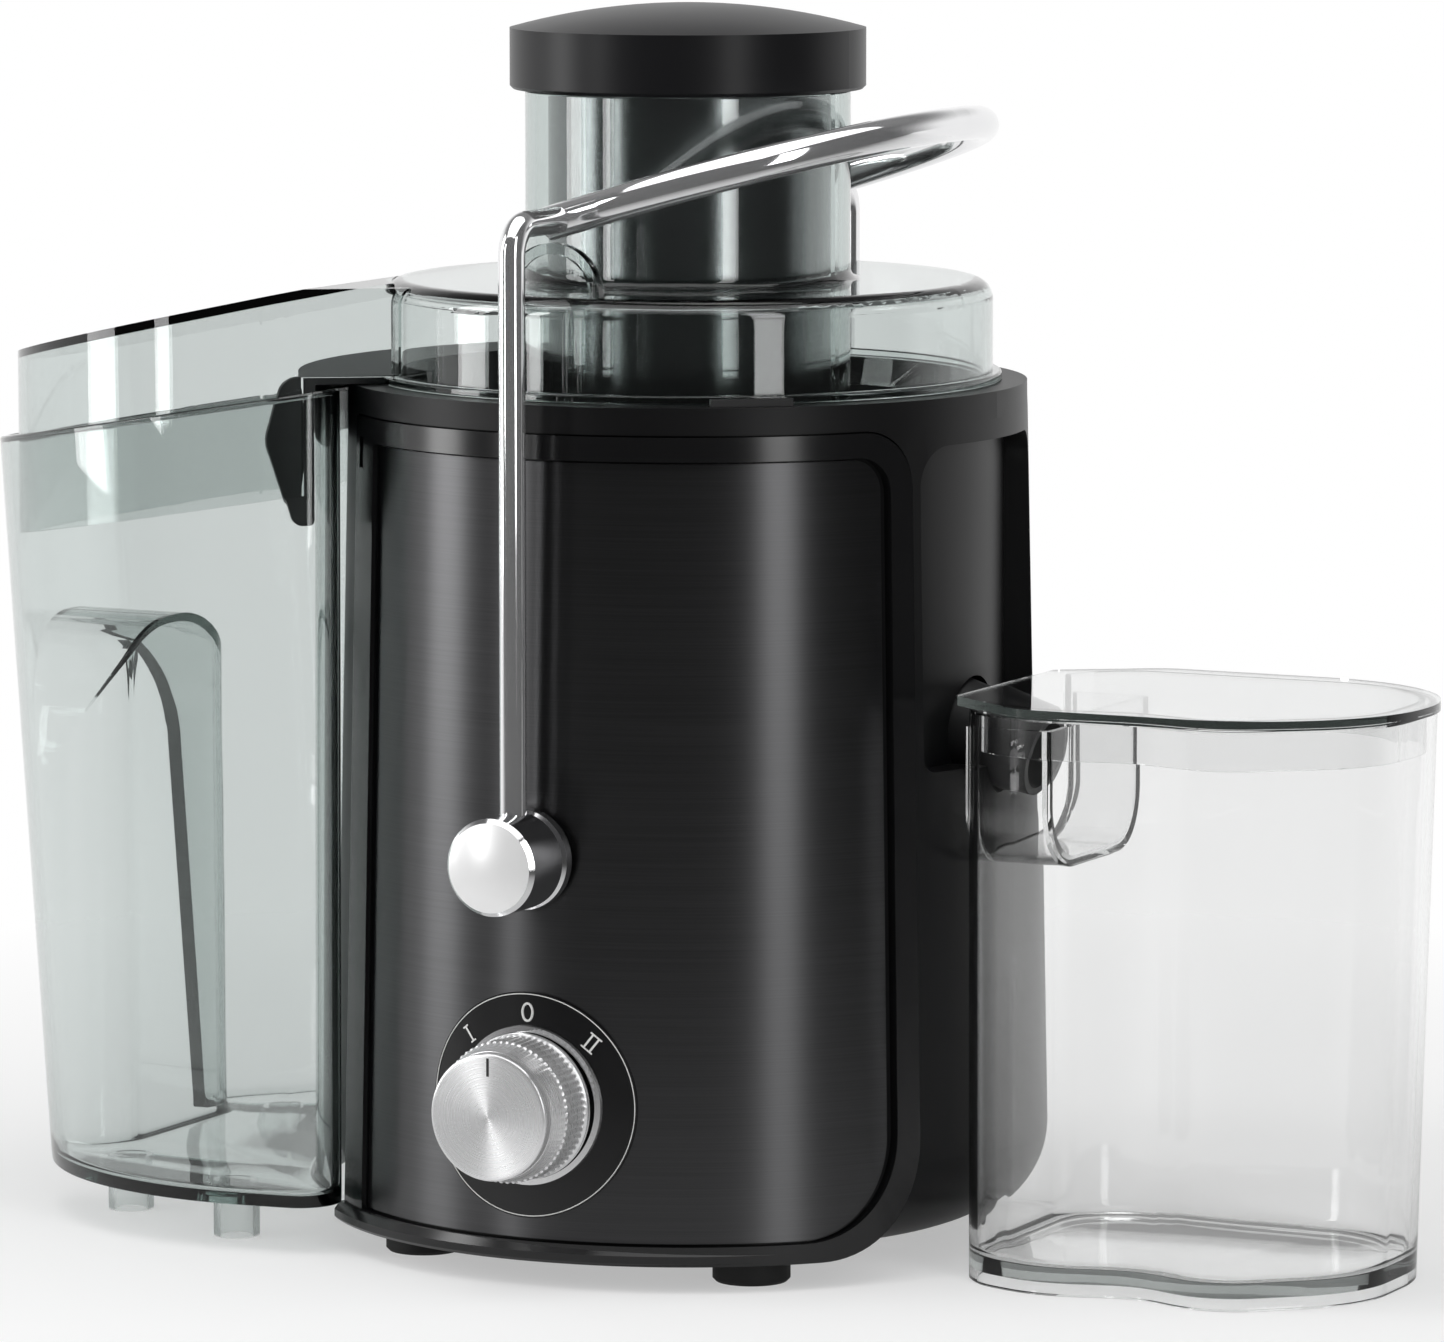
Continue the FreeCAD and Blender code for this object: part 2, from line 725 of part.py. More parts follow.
# ---------------------------------------------------------------- lid
def cover_solid(inset, drop):
    """Pulp cover volume under the sloping top; drop lowers the top by the cover's thickness."""
    half = [(-lid_r * 0.58, -lid_r * 0.69, 2.0), (-container_hug_r + 14, 4 - side_y, 16.0),
            (-container_rim_end + cover_inset, 7 - container_half, container_end_r - 6)]
    outline = counter_clockwise(half + [(x, -y, r) for x, y, r in reversed(half)])
    solid = prism(inset_corners(outline, inset), deck_top, chute_top)
    return solid.cut(slanted_slab(5.5 - lid_r, lid_top - 0.6 - drop, cover_slope))


def make_lid():
    low = housing_top + seat_gap
    over_apron = low + 2.4
    inner = lid_r - lid_wall
    under = lid_top - lid_plate
    spigot_r = bowl_r - bowl_wall - seat_gap
    spigot_low = housing_top - spigot_depth
    neck = housing_top - 4.5
    body = turned_round([(spigot_r - 2, spigot_low, 0), (spigot_r, spigot_low, 0), (spigot_r, low, 0),
                         (lid_r + flange_width, low, 0), (lid_r + flange_width, low + 2, 0.6),
                         (lid_r, low + 2, 0), (lid_r, lid_top, lid_corner_r), (chute_r, lid_top, 2.5),
                         (chute_r, chute_top, 0.5), (chute_r - chute_wall, chute_top, 0.5),
                         (chute_r - chute_wall, chute_bottom, 0), (chute_r - 0.6, chute_bottom, 0),
                         (chute_r - 0.6, neck, 0), (chute_r, neck, 0), (chute_r, under, 0),
                         (inner, under, 2.0), (inner, low, 0)])
    opening = turned([(lid_r - 15.5, spigot_low - 7), (lid_r + 17, spigot_low - 7), (lid_r + 17, under - 0.4),
                      (lid_r - 15.5, under - 0.4)], 180 - apron_half - 1.5, 2 * apron_half + 3)
    body = body.cut(opening.common(cover_solid(lid_wall, lid_plate)))
    notch = turned([(lid_r - 15.5, spigot_low - 7), (apron_r + 5.4, spigot_low - 7),
                    (apron_r + 5.4, over_apron), (lid_r - 15.5, over_apron)],
                   180 - apron_half - 3, 2 * apron_half + 6)
    body = body.cut(notch)
    cover = cover_solid(0, 0).cut(cover_solid(lid_wall, lid_wall))
    cover = cover.cut(rod(inner, far, Vector(0, 0, deck_top)))
    cover = cover.cut(rod(apron_r + 4.4, over_apron - deck_top, Vector(0, 0, deck_top)))
    cover = cover.common(slanted_slab(-rim_start, container_rim_high - 25, container_rim_slope))
    cover = cover.cut(block(Vector(-lid_r, -lid_r, lid_top - 0.6), Vector(lid_r, lid_r, chute_top)))
    ears = []
    for side in (-1, 1):
        back = Vector(-2, side * ear_y - ear_thick / 2, lid_top)
        ear = rod(ear_r, ear_thick, back, Y)
        ear = ear.cut(rod(ear_r - 2.6, ear_thick, back + Vector(0, side * 0.4 * ear_thick, 0), Y))
        ears.append(ear.cut(block(Vector(-lid_r, -lid_r, low), Vector(lid_r, lid_r, lid_top - 0.5))))
    return fuse([body, cover] + ears)


# ---------------------------------------------------------------- juice jug
def jug_outline(half, end, waist):
    """Left end blunt, right end round, front side drawn in at the middle."""
    middle = jug_left + jug_length * 0.46
    lobe = middle + (end - middle) * 0.43
    return [(jug_left, -half * 0.82, jug_left_r), (jug_left + jug_length * 0.24, -half * 1.04, 30.0),
            (middle, waist - half, jug_length * 0.2), (lobe, -half * 1.1, jug_length * 0.19),
            (end, -half * 0.5, half * 0.75), (end, half * 0.98, half * 0.86),
            (jug_left, half * 0.98, jug_left_r * 1.1)]


def jug_top_outline():
    return jug_outline(jug_half, jug_left + jug_length - 2.0, jug_waist * 0.5)


def jug_solid(inset, low, high):
    end = jug_left + jug_length - jug_lean - 2.0
    foot = inset_corners(jug_outline(jug_half - jug_draft, end, jug_waist), inset)
    solid = drafted(foot, inset_corners(jug_top_outline(), inset), 0, jug_height)
    return solid.common(block(Vector(0, -far, low), Vector(far, far, high)))


def trough_form(grow, top):
    """U-shaped channel with a round bottom that the spout drops into."""
    half = trough_half + grow
    wire = rounded_wire([(-half, trough_low - grow, half * 0.5), (half, trough_low - grow, half * 0.5),
                         (half, top, 0), (-half, top, 0)], 0)
    form = Part.Face(wire).extrude(Vector(0, 0, trough_depth + grow))
    form.rotate(AXIS, Vector(1, 1, 1), 120)
    form.translate(Vector(jug_left - 1.0, 0, 0))
    return form


def make_juice_jug():
    body = jug_solid(0, 0, jug_height).cut(jug_solid(jug_wall, jug_foot + jug_floor, jug_height + 1))
    body = body.cut(jug_solid(jug_wall, -1, jug_foot))
    trough = trough_form(trough_wall, jug_height - 4).common(jug_solid(0.5, 0, jug_height))
    channel = trough_form(0, jug_height + 5)
    return fuse([body.cut(channel), trough.cut(channel)])


def make_jug_lid():
    end = jug_left + jug_length
    edge = jug_half + jug_lid_edge
    left = jug_left - jug_lid_tongue
    plan = [(left, -trough_half, 3.0), (left + 24.0, -edge, 14.0), (end, -edge, edge * 0.98),
            (end, edge, edge * 0.98), (left + 24.0, edge, 14.0), (left, trough_half + 2, 3.0)]
    low = jug_height + seat_gap
    plate = prism(plan, low, low + jug_lid_thick)
    outer_inset = jug_wall + seat_gap + 0.7
    top = jug_top_outline()
    outer = prism(inset_corners(top, outer_inset), low - jug_skirt, low + 1)
    inner = prism(inset_corners(top, outer_inset + jug_skirt_wall), low - jug_skirt - 1, low)
    side = trough_half + trough_wall + 3
    channel = block(Vector(0, -side, 0), Vector(jug_left + trough_depth + 5, side, low))
    return fuse([plate, outer.cut(inner).cut(channel)])


# ---------------------------------------------------------------- locking arm
def arm_leg(side, leg_y):
    points = [Vector(0, side * leg_y, pivot_z + cap_r - 4), Vector(0, side * leg_y, arm_top_z),
              Vector(0, side * (arm_loop_y + 1), arm_top_z)]
    return round_bar(points, [arm_bend_r], arm_leg_r)


def make_arm_loop():
    rise = radians(arm_rise)
    along = Vector(cos(rise), 0, sin(rise))
    near = Vector(0, 0, arm_top_z) - along * arm_loop_r
    tip = Vector(0, 0, arm_top_z) + along * (arm_reach / cos(rise))
    corner_r = arm_loop_y * 0.94
    points = [near - Y * arm_loop_y, tip - Y * arm_loop_y, tip + Y * arm_loop_y, near + Y * arm_loop_y]
    return round_bar(points, [corner_r, corner_r], arm_loop_r)


def stand_out(shape, side, z):
    """Turn a shape drawn upwards round Z so that it points out of the front or the rear."""
    shape.rotate(AXIS, X, -90 * side)
    shape.translate(Vector(0, 0, z))
    return shape


def make_pivot_cap(side, leg):
    """Turned cap with a base bead and a chamfered face, bored for the stud and the leg."""
    back = skin(pivot_z) + cap_gap
    front = back + cap_length
    bore = stud_r + pin_gap
    profile = [(bore, back), (cap_r + 0.4, back), (cap_r + 0.4, back + 2.6), (cap_r - 0.8, back + 3.4),
               (cap_r, back + 4.2), (cap_r, front - 1.2), (cap_r - 1.2, front), (0, front),
               (0, front - cap_end), (bore, front - cap_end)]
    return stand_out(turned(profile), side, pivot_z).cut(leg)


def make_arm_stud(side):
    """Steel stud through the housing wall, with a head behind the wall."""
    inside = drum(pivot_z) - housing_wall
    tip = skin(pivot_z) + cap_gap + cap_length - cap_end - 0.5
    head_r = stud_r + 0.4
    profile = [(0, inside - stud_head), (head_r, inside - stud_head), (head_r, inside - 0.9),
               (stud_r, inside - 0.9), (stud_r, tip), (0, tip)]
    return stand_out(turned(profile), side, pivot_z)


def make_arm():
    loop = make_arm_loop()
    for side, name, leg_y in ((-1, "front", arm_leg_y), (1, "rear", arm_rear_leg_y)):
        leg = arm_leg(side, leg_y)
        keep(name + "_pivot_cap", make_pivot_cap(side, leg))
        keep(name + "_arm_stud", make_arm_stud(side))
        keep("arm_" + name + "_leg", leg.cut(loop))
    keep("arm_loop", loop)


# ---------------------------------------------------------------- speed knob
def fluted_disc(r, depth, count, height):
    """Prism with a saw-toothed edge."""
    points = []
    for i in range(count):
        points.append(polar(r, 360.0 * i / count))
        points.append(polar(r - depth, 360.0 * (i + 0.5) / count))
    return face_of(points).extrude(Vector(0, 0, height))


def to_front(shape, y):
    """Stand a shape drawn upwards from z=0 out of the front at the knob's height, its base at -y."""
    shape.rotate(AXIS, X, 90)
    shape.translate(Vector(0, -y, knob_z))
    return shape


def make_knob():
    base_y = skin(knob_z) + 1.0
    grip = knob_proud - 4.0
    top = knob_proud - 1.0
    taper = 5.0
    body = fluted_disc(knob_r, 0.55, knob_flutes, grip - taper)
    foot = rod(knob_r + 0.5, 1.6, AXIS)
    neck = Part.makeCone(knob_r - 0.5, knob_cap_r, taper, Vector(0, 0, grip - taper))
    body = fuse([body, foot, neck]).cut(rod(knob_shaft_r, grip, AXIS))
    body = body.cut(tube(knob_r - 4.3, knob_shaft_r + 3, -1, grip - 4))
    cap = turned([(0, grip), (knob_cap_r, grip), (knob_cap_r, top - 0.8), (knob_cap_r - 0.6, top), (0, top)])
    mark = block(Vector(-0.55, knob_cap_r - 5.3, top - 0.5), Vector(0.55, knob_cap_r - 0.7, top + 1))
    shaft_length = 2.1 * grip
    shaft = rod(knob_shaft_r, shaft_length, Vector(0, 0, grip - shaft_length))
    keep("knob_body", to_front(body, base_y))
    keep("knob_cap", to_front(cap.cut(mark), base_y))
    keep("knob_shaft", to_front(shaft, base_y))


def make_dial():
    face = panel_thick + 0.05
    half = dial_r + 4
    front = 2 * degrees(half / housing_low_r)
    plate = shell_band(lambda z: drum(z) + face, lambda z: drum(z) + face + 0.45,
                       knob_z - half, knob_z + half, 270 - front / 2, front)
    bezel = shell_band(lambda z: drum(z) + face + 0.5, lambda z: drum(z) + face + 1.65,
                       knob_z - half, knob_z + half, 270 - front / 2, front)
    keep("dial_plate", plate.common(front_hole(dial_r)).cut(front_hole(switch_neck_r + 0.2)))
    keep("dial_bezel", bezel.common(front_hole(bezel_r)).cut(front_hole(bezel_r - bezel_width)))


def make_rotary_switch():
    """Switch body clamped to the drum's front wall by its threaded neck."""
    wall = drum(knob_z) - housing_wall
    depth = 18.0
    body = prism([(-14, -12, 2), (14, -12, 2), (14, 12, 2), (-14, 12, 2)], 0, depth)
    neck = rod(switch_neck_r, housing_wall + 3.7, Vector(0, 0, depth))
    switch = fuse([body, neck]).cut(rod(knob_shaft_r + pin_gap, 2 * depth, Vector(0, 0, 4)))
    return to_front(switch, wall - depth - 1.6)


# ---------------------------------------------------------------- pusher
def make_pusher():
    rim = chute_top + seat_gap
    plug = rim + 4
    bore = pusher_r - pusher_wall
    floor = pusher_bottom + 3.2
    keep("pusher_body", turned([(0, pusher_bottom), (pusher_r - 3, pusher_bottom), (pusher_r, pusher_bottom + 3),
                                (pusher_r, plug), (bore, plug), (bore, floor), (0, floor)]))
    r = pusher_cap_r
    crown = rim + pusher_cap_skirt + pusher_dome
    body = turned([(0, rim), (bore - 0.05, rim), (bore - 0.05, plug), (pusher_r, plug), (pusher_r, rim),
                   (r - 0.8, rim), (r, rim + 0.8), (r, crown), (0, crown)])
    dome_r = (r * r + pusher_dome ** 2) / (2 * pusher_dome)
    keep("pusher_cap", body.common(Part.makeSphere(dome_r, Vector(0, 0, crown - dome_r))))


# ---------------------------------------------------------------- drive
def make_motor():
    core_top = stator_low + stator_height
    keep("motor_shaft", rod(shaft_r, basket_floor + 14 - lower_bearing_z, Vector(0, 0, lower_bearing_z - 4)))
    core = tube(armature_r, shaft_r, stator_low, core_top)
    slot = block(Vector(armature_r - 4, -1.0, stator_low), Vector(armature_r + 1, 1.0, core_top))
    core = core.cut(Part.makeCompound(around(slot, 12)))
    ends = [tube(armature_r - 3, shaft_r + 3, stator_low - 8, stator_low),
            tube(armature_r - 3, shaft_r + 3, core_top, core_top + 7)]
    keep("armature", fuse([core] + ends))
    commutator_top = commutator_low + commutator_height
    commutator = tube(commutator_r, shaft_r, commutator_low, commutator_top)
    gap = block(Vector(commutator_r - 2.5, -0.3, commutator_low), Vector(commutator_r + 1, 0.3, commutator_top))
    keep("commutator", commutator.cut(Part.makeCompound(around(gap, 12))))
    low = core_top + 7.5
    hub_r = shaft_r + 5
    blade = block(Vector(hub_r - 1, -0.7, low), Vector(fan_r, 0.7, low + 5))
    blade.rotate(Vector(hub_r - 1, 0, low), Z, 20)
    keep("cooling_fan", fuse([tube(hub_r, shaft_r, low, low + 5), tube(fan_r, hub_r - 1, low, low + 0.8)]
                             + around(blade, fan_blades)))
    half = stator_half
    deep = half * stator_flat
    stack = prism([(-half, -deep, 12), (half, -deep, 12), (half, deep, 12), (-half, deep, 12)],
                  stator_low, core_top)
    stack = stack.cut(rod(armature_r + 0.5, stator_height, Vector(0, 0, stator_low)))
    coil_in = armature_r + 2
    window = block(Vector(-15, coil_in, stator_low), Vector(15, coil_in + 4.5, core_top))
    stack = stack.cut(Part.makeCompound(around(window, 2)))
    for x, y in screw_places():
        stack = stack.cut(rod(screw_r, stator_height, Vector(x, y, stator_low)))
    keep("motor_stator", stack)
    side = block(Vector(-14.5, coil_in + 0.3, stator_low), Vector(14.5, coil_in + 4.2, core_top))
    coil = [side]
    for base in (stator_low - coil_height, core_top):
        coil.append(turned([(coil_in, base), (coil_in + 6, base), (coil_in + 6, base + coil_height),
                            (coil_in, base + coil_height)], 55, 70))
    keep("field_coils", Part.makeCompound(around(fuse(coil), 2)))
    keep("lower_bracket", make_bracket(lower_bearing_z, stator_low, 1))
    keep("upper_bracket", make_bracket(upper_bearing_z, core_top, -1))
    for name, z in (("lower_bearing", lower_bearing_z), ("upper_bearing", upper_bearing_z)):
        race = tube(bearing_r, shaft_r + running_gap, z, z + bearing_height)
        groove = tube(bearing_r - 2.4, shaft_r + 2.4, z - 1, z + 0.6)
        keep(name, race.cut(groove).cut(groove.translated(Vector(0, 0, bearing_height + 0.4))))


def screw_places():
    x = stator_half - 7
    y = stator_half * stator_flat - 7
    return [(x, y), (-x, y), (-x, -y), (x, -y)]


def make_bracket(z, face, side):
    """Cross-shaped bearing bracket with a cup for the bearing and posts to the stator."""
    x, y = screw_places()[0]
    length = hypot(x, y) + 6
    arm = block(Vector(-length, -6, z), Vector(length, 6, z + bracket_thick))
    pieces = [tube(bearing_r + 2.5, bearing_r, z, z + bearing_height)]
    for turn in (1, -1):
        copy = arm.copy()
        copy.rotate(AXIS, Z, turn * degrees(atan2(y, x)))
        pieces.append(copy)
    low = z + bracket_thick if side > 0 else face
    high = face if side > 0 else z
    for px, py in screw_places():
        pieces.append(rod(5.0, high - low, Vector(px, py, low)))
    body = fuse(pieces).cut(rod(bearing_r, bearing_height, Vector(0, 0, z)))
    for px, py in screw_places():
        body = body.cut(rod(screw_r, deck_top, Vector(px, py, 0)))
    return body


def make_motor_mounts():
    """Rubber bushes between the upper bracket and the deck, and the long screws through the stack."""
    low = upper_bearing_z + bracket_thick
    under = deck_top - deck_thick
    bushes = []
    screws = []
    for x, y in screw_places():
        bush = rod(5.5, under - low, Vector(x, y, low))
        bushes.append(bush.cut(rod(screw_r, under - low, Vector(x, y, low))))
        head = rod(2 * screw_r, 2.6, Vector(x, y, lower_bearing_z - 2.6))
        screws.append(fuse([rod(screw_r, under - lower_bearing_z, Vector(x, y, lower_bearing_z)), head]))
    keep("motor_bushes", Part.makeCompound(bushes))
    keep("motor_screws", Part.makeCompound(screws))


def make_brush_holders():
    base = lower_bearing_z + bearing_height
    middle = commutator_low + commutator_height / 2
    near = commutator_r + 0.5
    holder = block(Vector(-4, near, middle - 4), Vector(4, near + 14.5, middle + 4))
    foot = block(Vector(-4, near, base), Vector(4, near + 1.8, middle - 4))
    keep("brush_holders", Part.makeCompound(around(fuse([holder, foot]), 2)))


def make_coupling():
    low = deck_top - deck_thick + 0.4
    seat = basket_floor - 1
    nose = basket_floor + 3.2
    body = turned([(shaft_r, low), (coupling_r, low), (coupling_r, seat), (nose_r, basket_floor),
                   (nose_r, nose), (shaft_r, nose)])
    groove = rod(1.2, 40, Vector(coupling_r + 0.3, 0, seat - 20))
    keep("drive_coupling", body.cut(Part.makeCompound(around(groove, 6))))
    boss_top = hub_top - boss_drop
    bore = coupling_r + seat_gap
    keep("shaft_seal", turned([(bore, boss_top), (boss_r, boss_top), (boss_r, boss_top + 2),
                               (coupling_r + 1.6, boss_top + 2.6), (bore, boss_top + 1.4)]))


def make_basket():
    low = basket_floor
    face = low + basket_plate
    top = basket_top
    cone = turned([(nose_r, low), (basket_low_r, low), (basket_top_r, top), (basket_top_r - basket_wall, top),
                   (basket_low_r - basket_wall, face), (nose_r, face)])
    ring_r = hub_bore_r + hub_wall + 1.8
    cone = fuse([cone, tube(ring_r + 1.8, ring_r, low - 7, low)])
    rise = top - low
    windows = []
    for row in range(basket_rows):
        z = low + rise * (0.16 + 0.26 * row)
        window = block(Vector(basket_low_r - 6, -0.8, z), Vector(basket_top_r + 4, 0.8, z + rise * 0.18))
        windows += around(window, basket_slots, 180.0 / basket_slots * row)
    keep("filter_basket", cone.cut(Part.makeCompound(windows)))
    keep("basket_rim", turned([(basket_top_r - 0.9, top - 3), (rim_r, top - 3), (rim_r, top + 2),
                               (basket_top_r - basket_wall, top + 2), (basket_top_r - basket_wall, top),
                               (basket_top_r, top)]))
    disc = tube(grater_r, nose_r, face, face + grater_thick)
    teeth = []
    for ring, count in enumerate(grater_teeth):
        r = coupling_r + 8 + tooth_pitch * ring
        tooth = face_of([Vector(r, -2.0, 0), Vector(r, 2.0, 0), Vector(r, 1.4, tooth_height)])
        tooth = tooth.extrude(Vector(1.8, 0, 0))
        tooth.translate(Vector(0, 0, face + grater_thick - 0.1))
        teeth += around(tooth, count, 7.0 * ring)
    keep("grater_disc", disc.multiFuse(teeth))
    nut_low = face + grater_thick
    nut = face_of([polar(nose_r + 1.2, 60.0 * i, nut_low) for i in range(6)]).extrude(Vector(0, 0, 4.6))
    keep("basket_nut", nut.cut(rod(shaft_r, 10, Vector(0, 0, nut_low))))


# ---------------------------------------------------------------- underside and small parts
def foot_places():
    return [Vector(side * x, y, 0) for x, y in (front_foot, rear_foot) for side in (-1, 1)]


def make_bottom():
    top = foot_height + plate_thick
    plate = rod(opening_r - seat_gap, plate_thick, Vector(0, 0, foot_height))
    slots = [block(Vector(i * 9 - 2, -24, 0), Vector(i * 9 + 2, 24, top)) for i in range(-3, 4)]
    plate = plate.cut(Part.makeCompound(slots))
    pad = turned([(0, 0), (foot_r - 0.8, 0), (foot_r, 0.8), (foot_r, foot_height), (foot_stem_r, foot_height),
                  (foot_stem_r, top + 1), (0, top + 1)])
    feet = []
    for base in foot_places():
        feet.append(pad.translated(base))
        plate = plate.cut(rod(foot_stem_r, top, base))
    screws = []
    for angle in plate_screw_angles:
        at = polar(plate_screw_ring, angle, foot_height)
        plate = plate.cut(rod(plate_screw_r, plate_thick, at))
        head = rod(plate_screw_r + 1.6, plate_screw_r, at - Z * plate_screw_r)
        screws.append(fuse([head, rod(plate_screw_r, 10, at)]))
    keep("bottom_plate", plate)
    keep("rubber_feet", Part.makeCompound(feet))
    keep("bottom_screws", Part.makeCompound(screws))


def make_interlock():
    """Microswitch under the deck, its lever against the front arm stud."""
    under = deck_top - deck_thick
    stud_end = drum(pivot_z) - housing_wall - stud_head
    body = block(Vector(-10, -stud_end + 4, under - 10), Vector(10, -stud_end + 10.5, under))
    lever = block(Vector(-1.6, -stud_end + 0.1, under - 9), Vector(1.6, -stud_end + 4, under - 8))
    keep("interlock_switch", fuse([body, lever]))


def make_gasket():
    sweep = 360 - 2 * apron_half - 10
    keep("bowl_gasket", turned([(bowl_r - 1.9, housing_top - seat_gap), (bowl_r - 0.3, housing_top - seat_gap),
                                (bowl_r - 0.3, housing_top + seat_gap), (bowl_r - 1.9, housing_top + seat_gap)],
                               -sweep / 2, sweep))


# ---------------------------------------------------------------- build and write
keep("base_housing", make_base_housing())
keep("front_frame", make_front_frame())
keep("front_panel", make_front_panel())
make_dial()
keep("rotary_switch", make_rotary_switch())
make_knob()
make_bottom()
make_motor()
make_motor_mounts()
make_brush_holders()
make_interlock()
make_coupling()
make_basket()
keep("juice_bowl", make_juice_bowl())
make_gasket()
keep("lid", make_lid())
make_pusher()
make_arm()
keep("pulp_container", make_pulp_container())
keep("juice_jug", make_juice_jug())
keep("jug_lid", make_jug_lid())

os.makedirs("parts", exist_ok=True)
for name, shape in nodes.items():
    moved = shape.translated(place)
    moved.exportStep("parts/" + name + ".step")
    print(name, len(moved.Solids), "solid(s)", round(moved.Volume / 1000, 1), "cm3", moved.isValid())
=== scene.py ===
# %% [markdown]
# # A centrifugal juicer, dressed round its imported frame
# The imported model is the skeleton: every part is in its place, in metres, +Z up, with the machine's front
# towards -Y. This notebook gives each part the finish of the real thing, and swaps five for finer surfaces
# worked out with numpy: the jug, the container, the front panel and the knob's two parts.

# %% Load the frame
import math

import bmesh
import bpy
import numpy as np
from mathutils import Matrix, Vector


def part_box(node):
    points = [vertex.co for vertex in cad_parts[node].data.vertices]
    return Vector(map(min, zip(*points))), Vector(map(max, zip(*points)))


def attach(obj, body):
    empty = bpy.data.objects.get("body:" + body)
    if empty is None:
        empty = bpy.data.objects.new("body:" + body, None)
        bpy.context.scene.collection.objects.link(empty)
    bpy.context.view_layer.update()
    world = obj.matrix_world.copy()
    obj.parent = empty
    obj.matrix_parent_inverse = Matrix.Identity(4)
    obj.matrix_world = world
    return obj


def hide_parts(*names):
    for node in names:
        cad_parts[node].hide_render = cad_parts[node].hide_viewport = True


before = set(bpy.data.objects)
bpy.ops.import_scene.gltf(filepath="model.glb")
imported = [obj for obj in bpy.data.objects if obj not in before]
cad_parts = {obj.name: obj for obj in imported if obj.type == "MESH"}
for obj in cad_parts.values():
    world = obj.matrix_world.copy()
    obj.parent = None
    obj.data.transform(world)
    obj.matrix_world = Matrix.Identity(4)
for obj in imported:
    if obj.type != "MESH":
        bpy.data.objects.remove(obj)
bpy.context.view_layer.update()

MM = 0.001
scene = bpy.context.scene


# %% [markdown]
# The motor shaft is the middle of the machine, so its box gives the axis that round parts turn about.

# %% The machine's axis
def box_mm(name):
    """A node's lowest and highest corners, in mm."""
    return [np.array(corner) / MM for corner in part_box(name)]


def middle(name):
    """Half way between a node's lowest and highest corners, in metres."""
    return sum(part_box(name), Vector()) / 2


axis_x = middle("motor_shaft").x
cx = axis_x / MM                                # mm
print("motor axis at x =", round(cx, 2), "mm")

# %% [markdown]
# ## Camera
# A long lens from the right of the front, a little above the lid, gives the almost parallel lines of a
# catalogue picture. A short lens close by would make the jug, which is nearest, look too large.

# %% Camera
view_turn = math.radians(26.5)       # to the right of straight in front
camera_reach = 2.1245                # metres from the motor axis, level
camera_height = 0.3987
aim_height = 0.1403
aim_side = 0.0084                    # metres to the right of the axis, across the view
lens_length = 214.4                  # mm, for a sensor 36 mm wide

right_way = np.array((math.cos(view_turn), math.sin(view_turn), 0.0))
away_way = np.array((-math.sin(view_turn), math.cos(view_turn), 0.0))
camera_place = np.array((axis_x, 0, camera_height)) - away_way * camera_reach
aim = np.array((axis_x, 0, aim_height)) + right_way * aim_side

camera_data = bpy.data.cameras.new("camera")
camera_data.lens = lens_length
camera_data.sensor_width = 36.0
camera_data.clip_end = 20.0
camera = bpy.data.objects.new("camera", camera_data)
scene.collection.objects.link(camera)
camera.location = camera_place
camera.rotation_euler = Vector(aim - camera_place).to_track_quat("-Z", "Y").to_euler()
scene.camera = camera
scene.view_settings.view_transform = "Standard"
print("camera at", camera_place.round(3).tolist(), "metres, lens", lens_length, "mm")


# %% [markdown]
# ## Colours and nodes
# Colours are picked as sRGB, as a screen shows them, while a shader works in linear light, so one function
# turns them. Another adds a node with its settings and links, so that a material reads like a recipe.

# %% Colour and node helpers
def linear(colour):
    """sRGB hex to linear RGBA: c/12.92 below 0.04045, otherwise ((c + 0.055)/1.055) to the power 2.4."""
    c = np.array([int(colour[i:i + 2], 16) / 255 for i in (1, 3, 5)])
    c = np.where(c <= 0.04045, c / 12.92, ((c + 0.055) / 1.055) ** 2.4)
    return (*c.tolist(), 1.0)


def add(tree, kind, inputs=None, **settings):
    """Add one node. settings are its own properties; inputs are socket values, or sockets to link."""
    made = tree.nodes.new(kind)
    for key, value in settings.items():
        setattr(made, key, value)
    for key, value in (inputs or {}).items():
        if isinstance(value, bpy.types.NodeSocket):
            tree.links.new(value, made.inputs[key])
        else:
            made.inputs[key].default_value = value
    return made


def blank(name):
    """A material with nothing in it but its output."""
    made = bpy.data.materials.new(name)
    made.use_nodes = True
    made.node_tree.nodes.clear()
    return made, made.node_tree, made.node_tree.nodes.new("ShaderNodeOutputMaterial")


print("middle grey #808080 is", round(linear("#808080")[0], 3), "in linear light")


# %% [markdown]
# ## Studio
# The studio is white where the camera or clear plastic looks at it, and dim for the light that falls on
# matt surfaces, so the background is bright while the lamps light the machine. Mirrors see a room: white
# behind the machine and to its left, dark behind the camera and overhead. The dark half gives polished
# metal and black plastic their deep tones; the soft bands across them are the lamps.

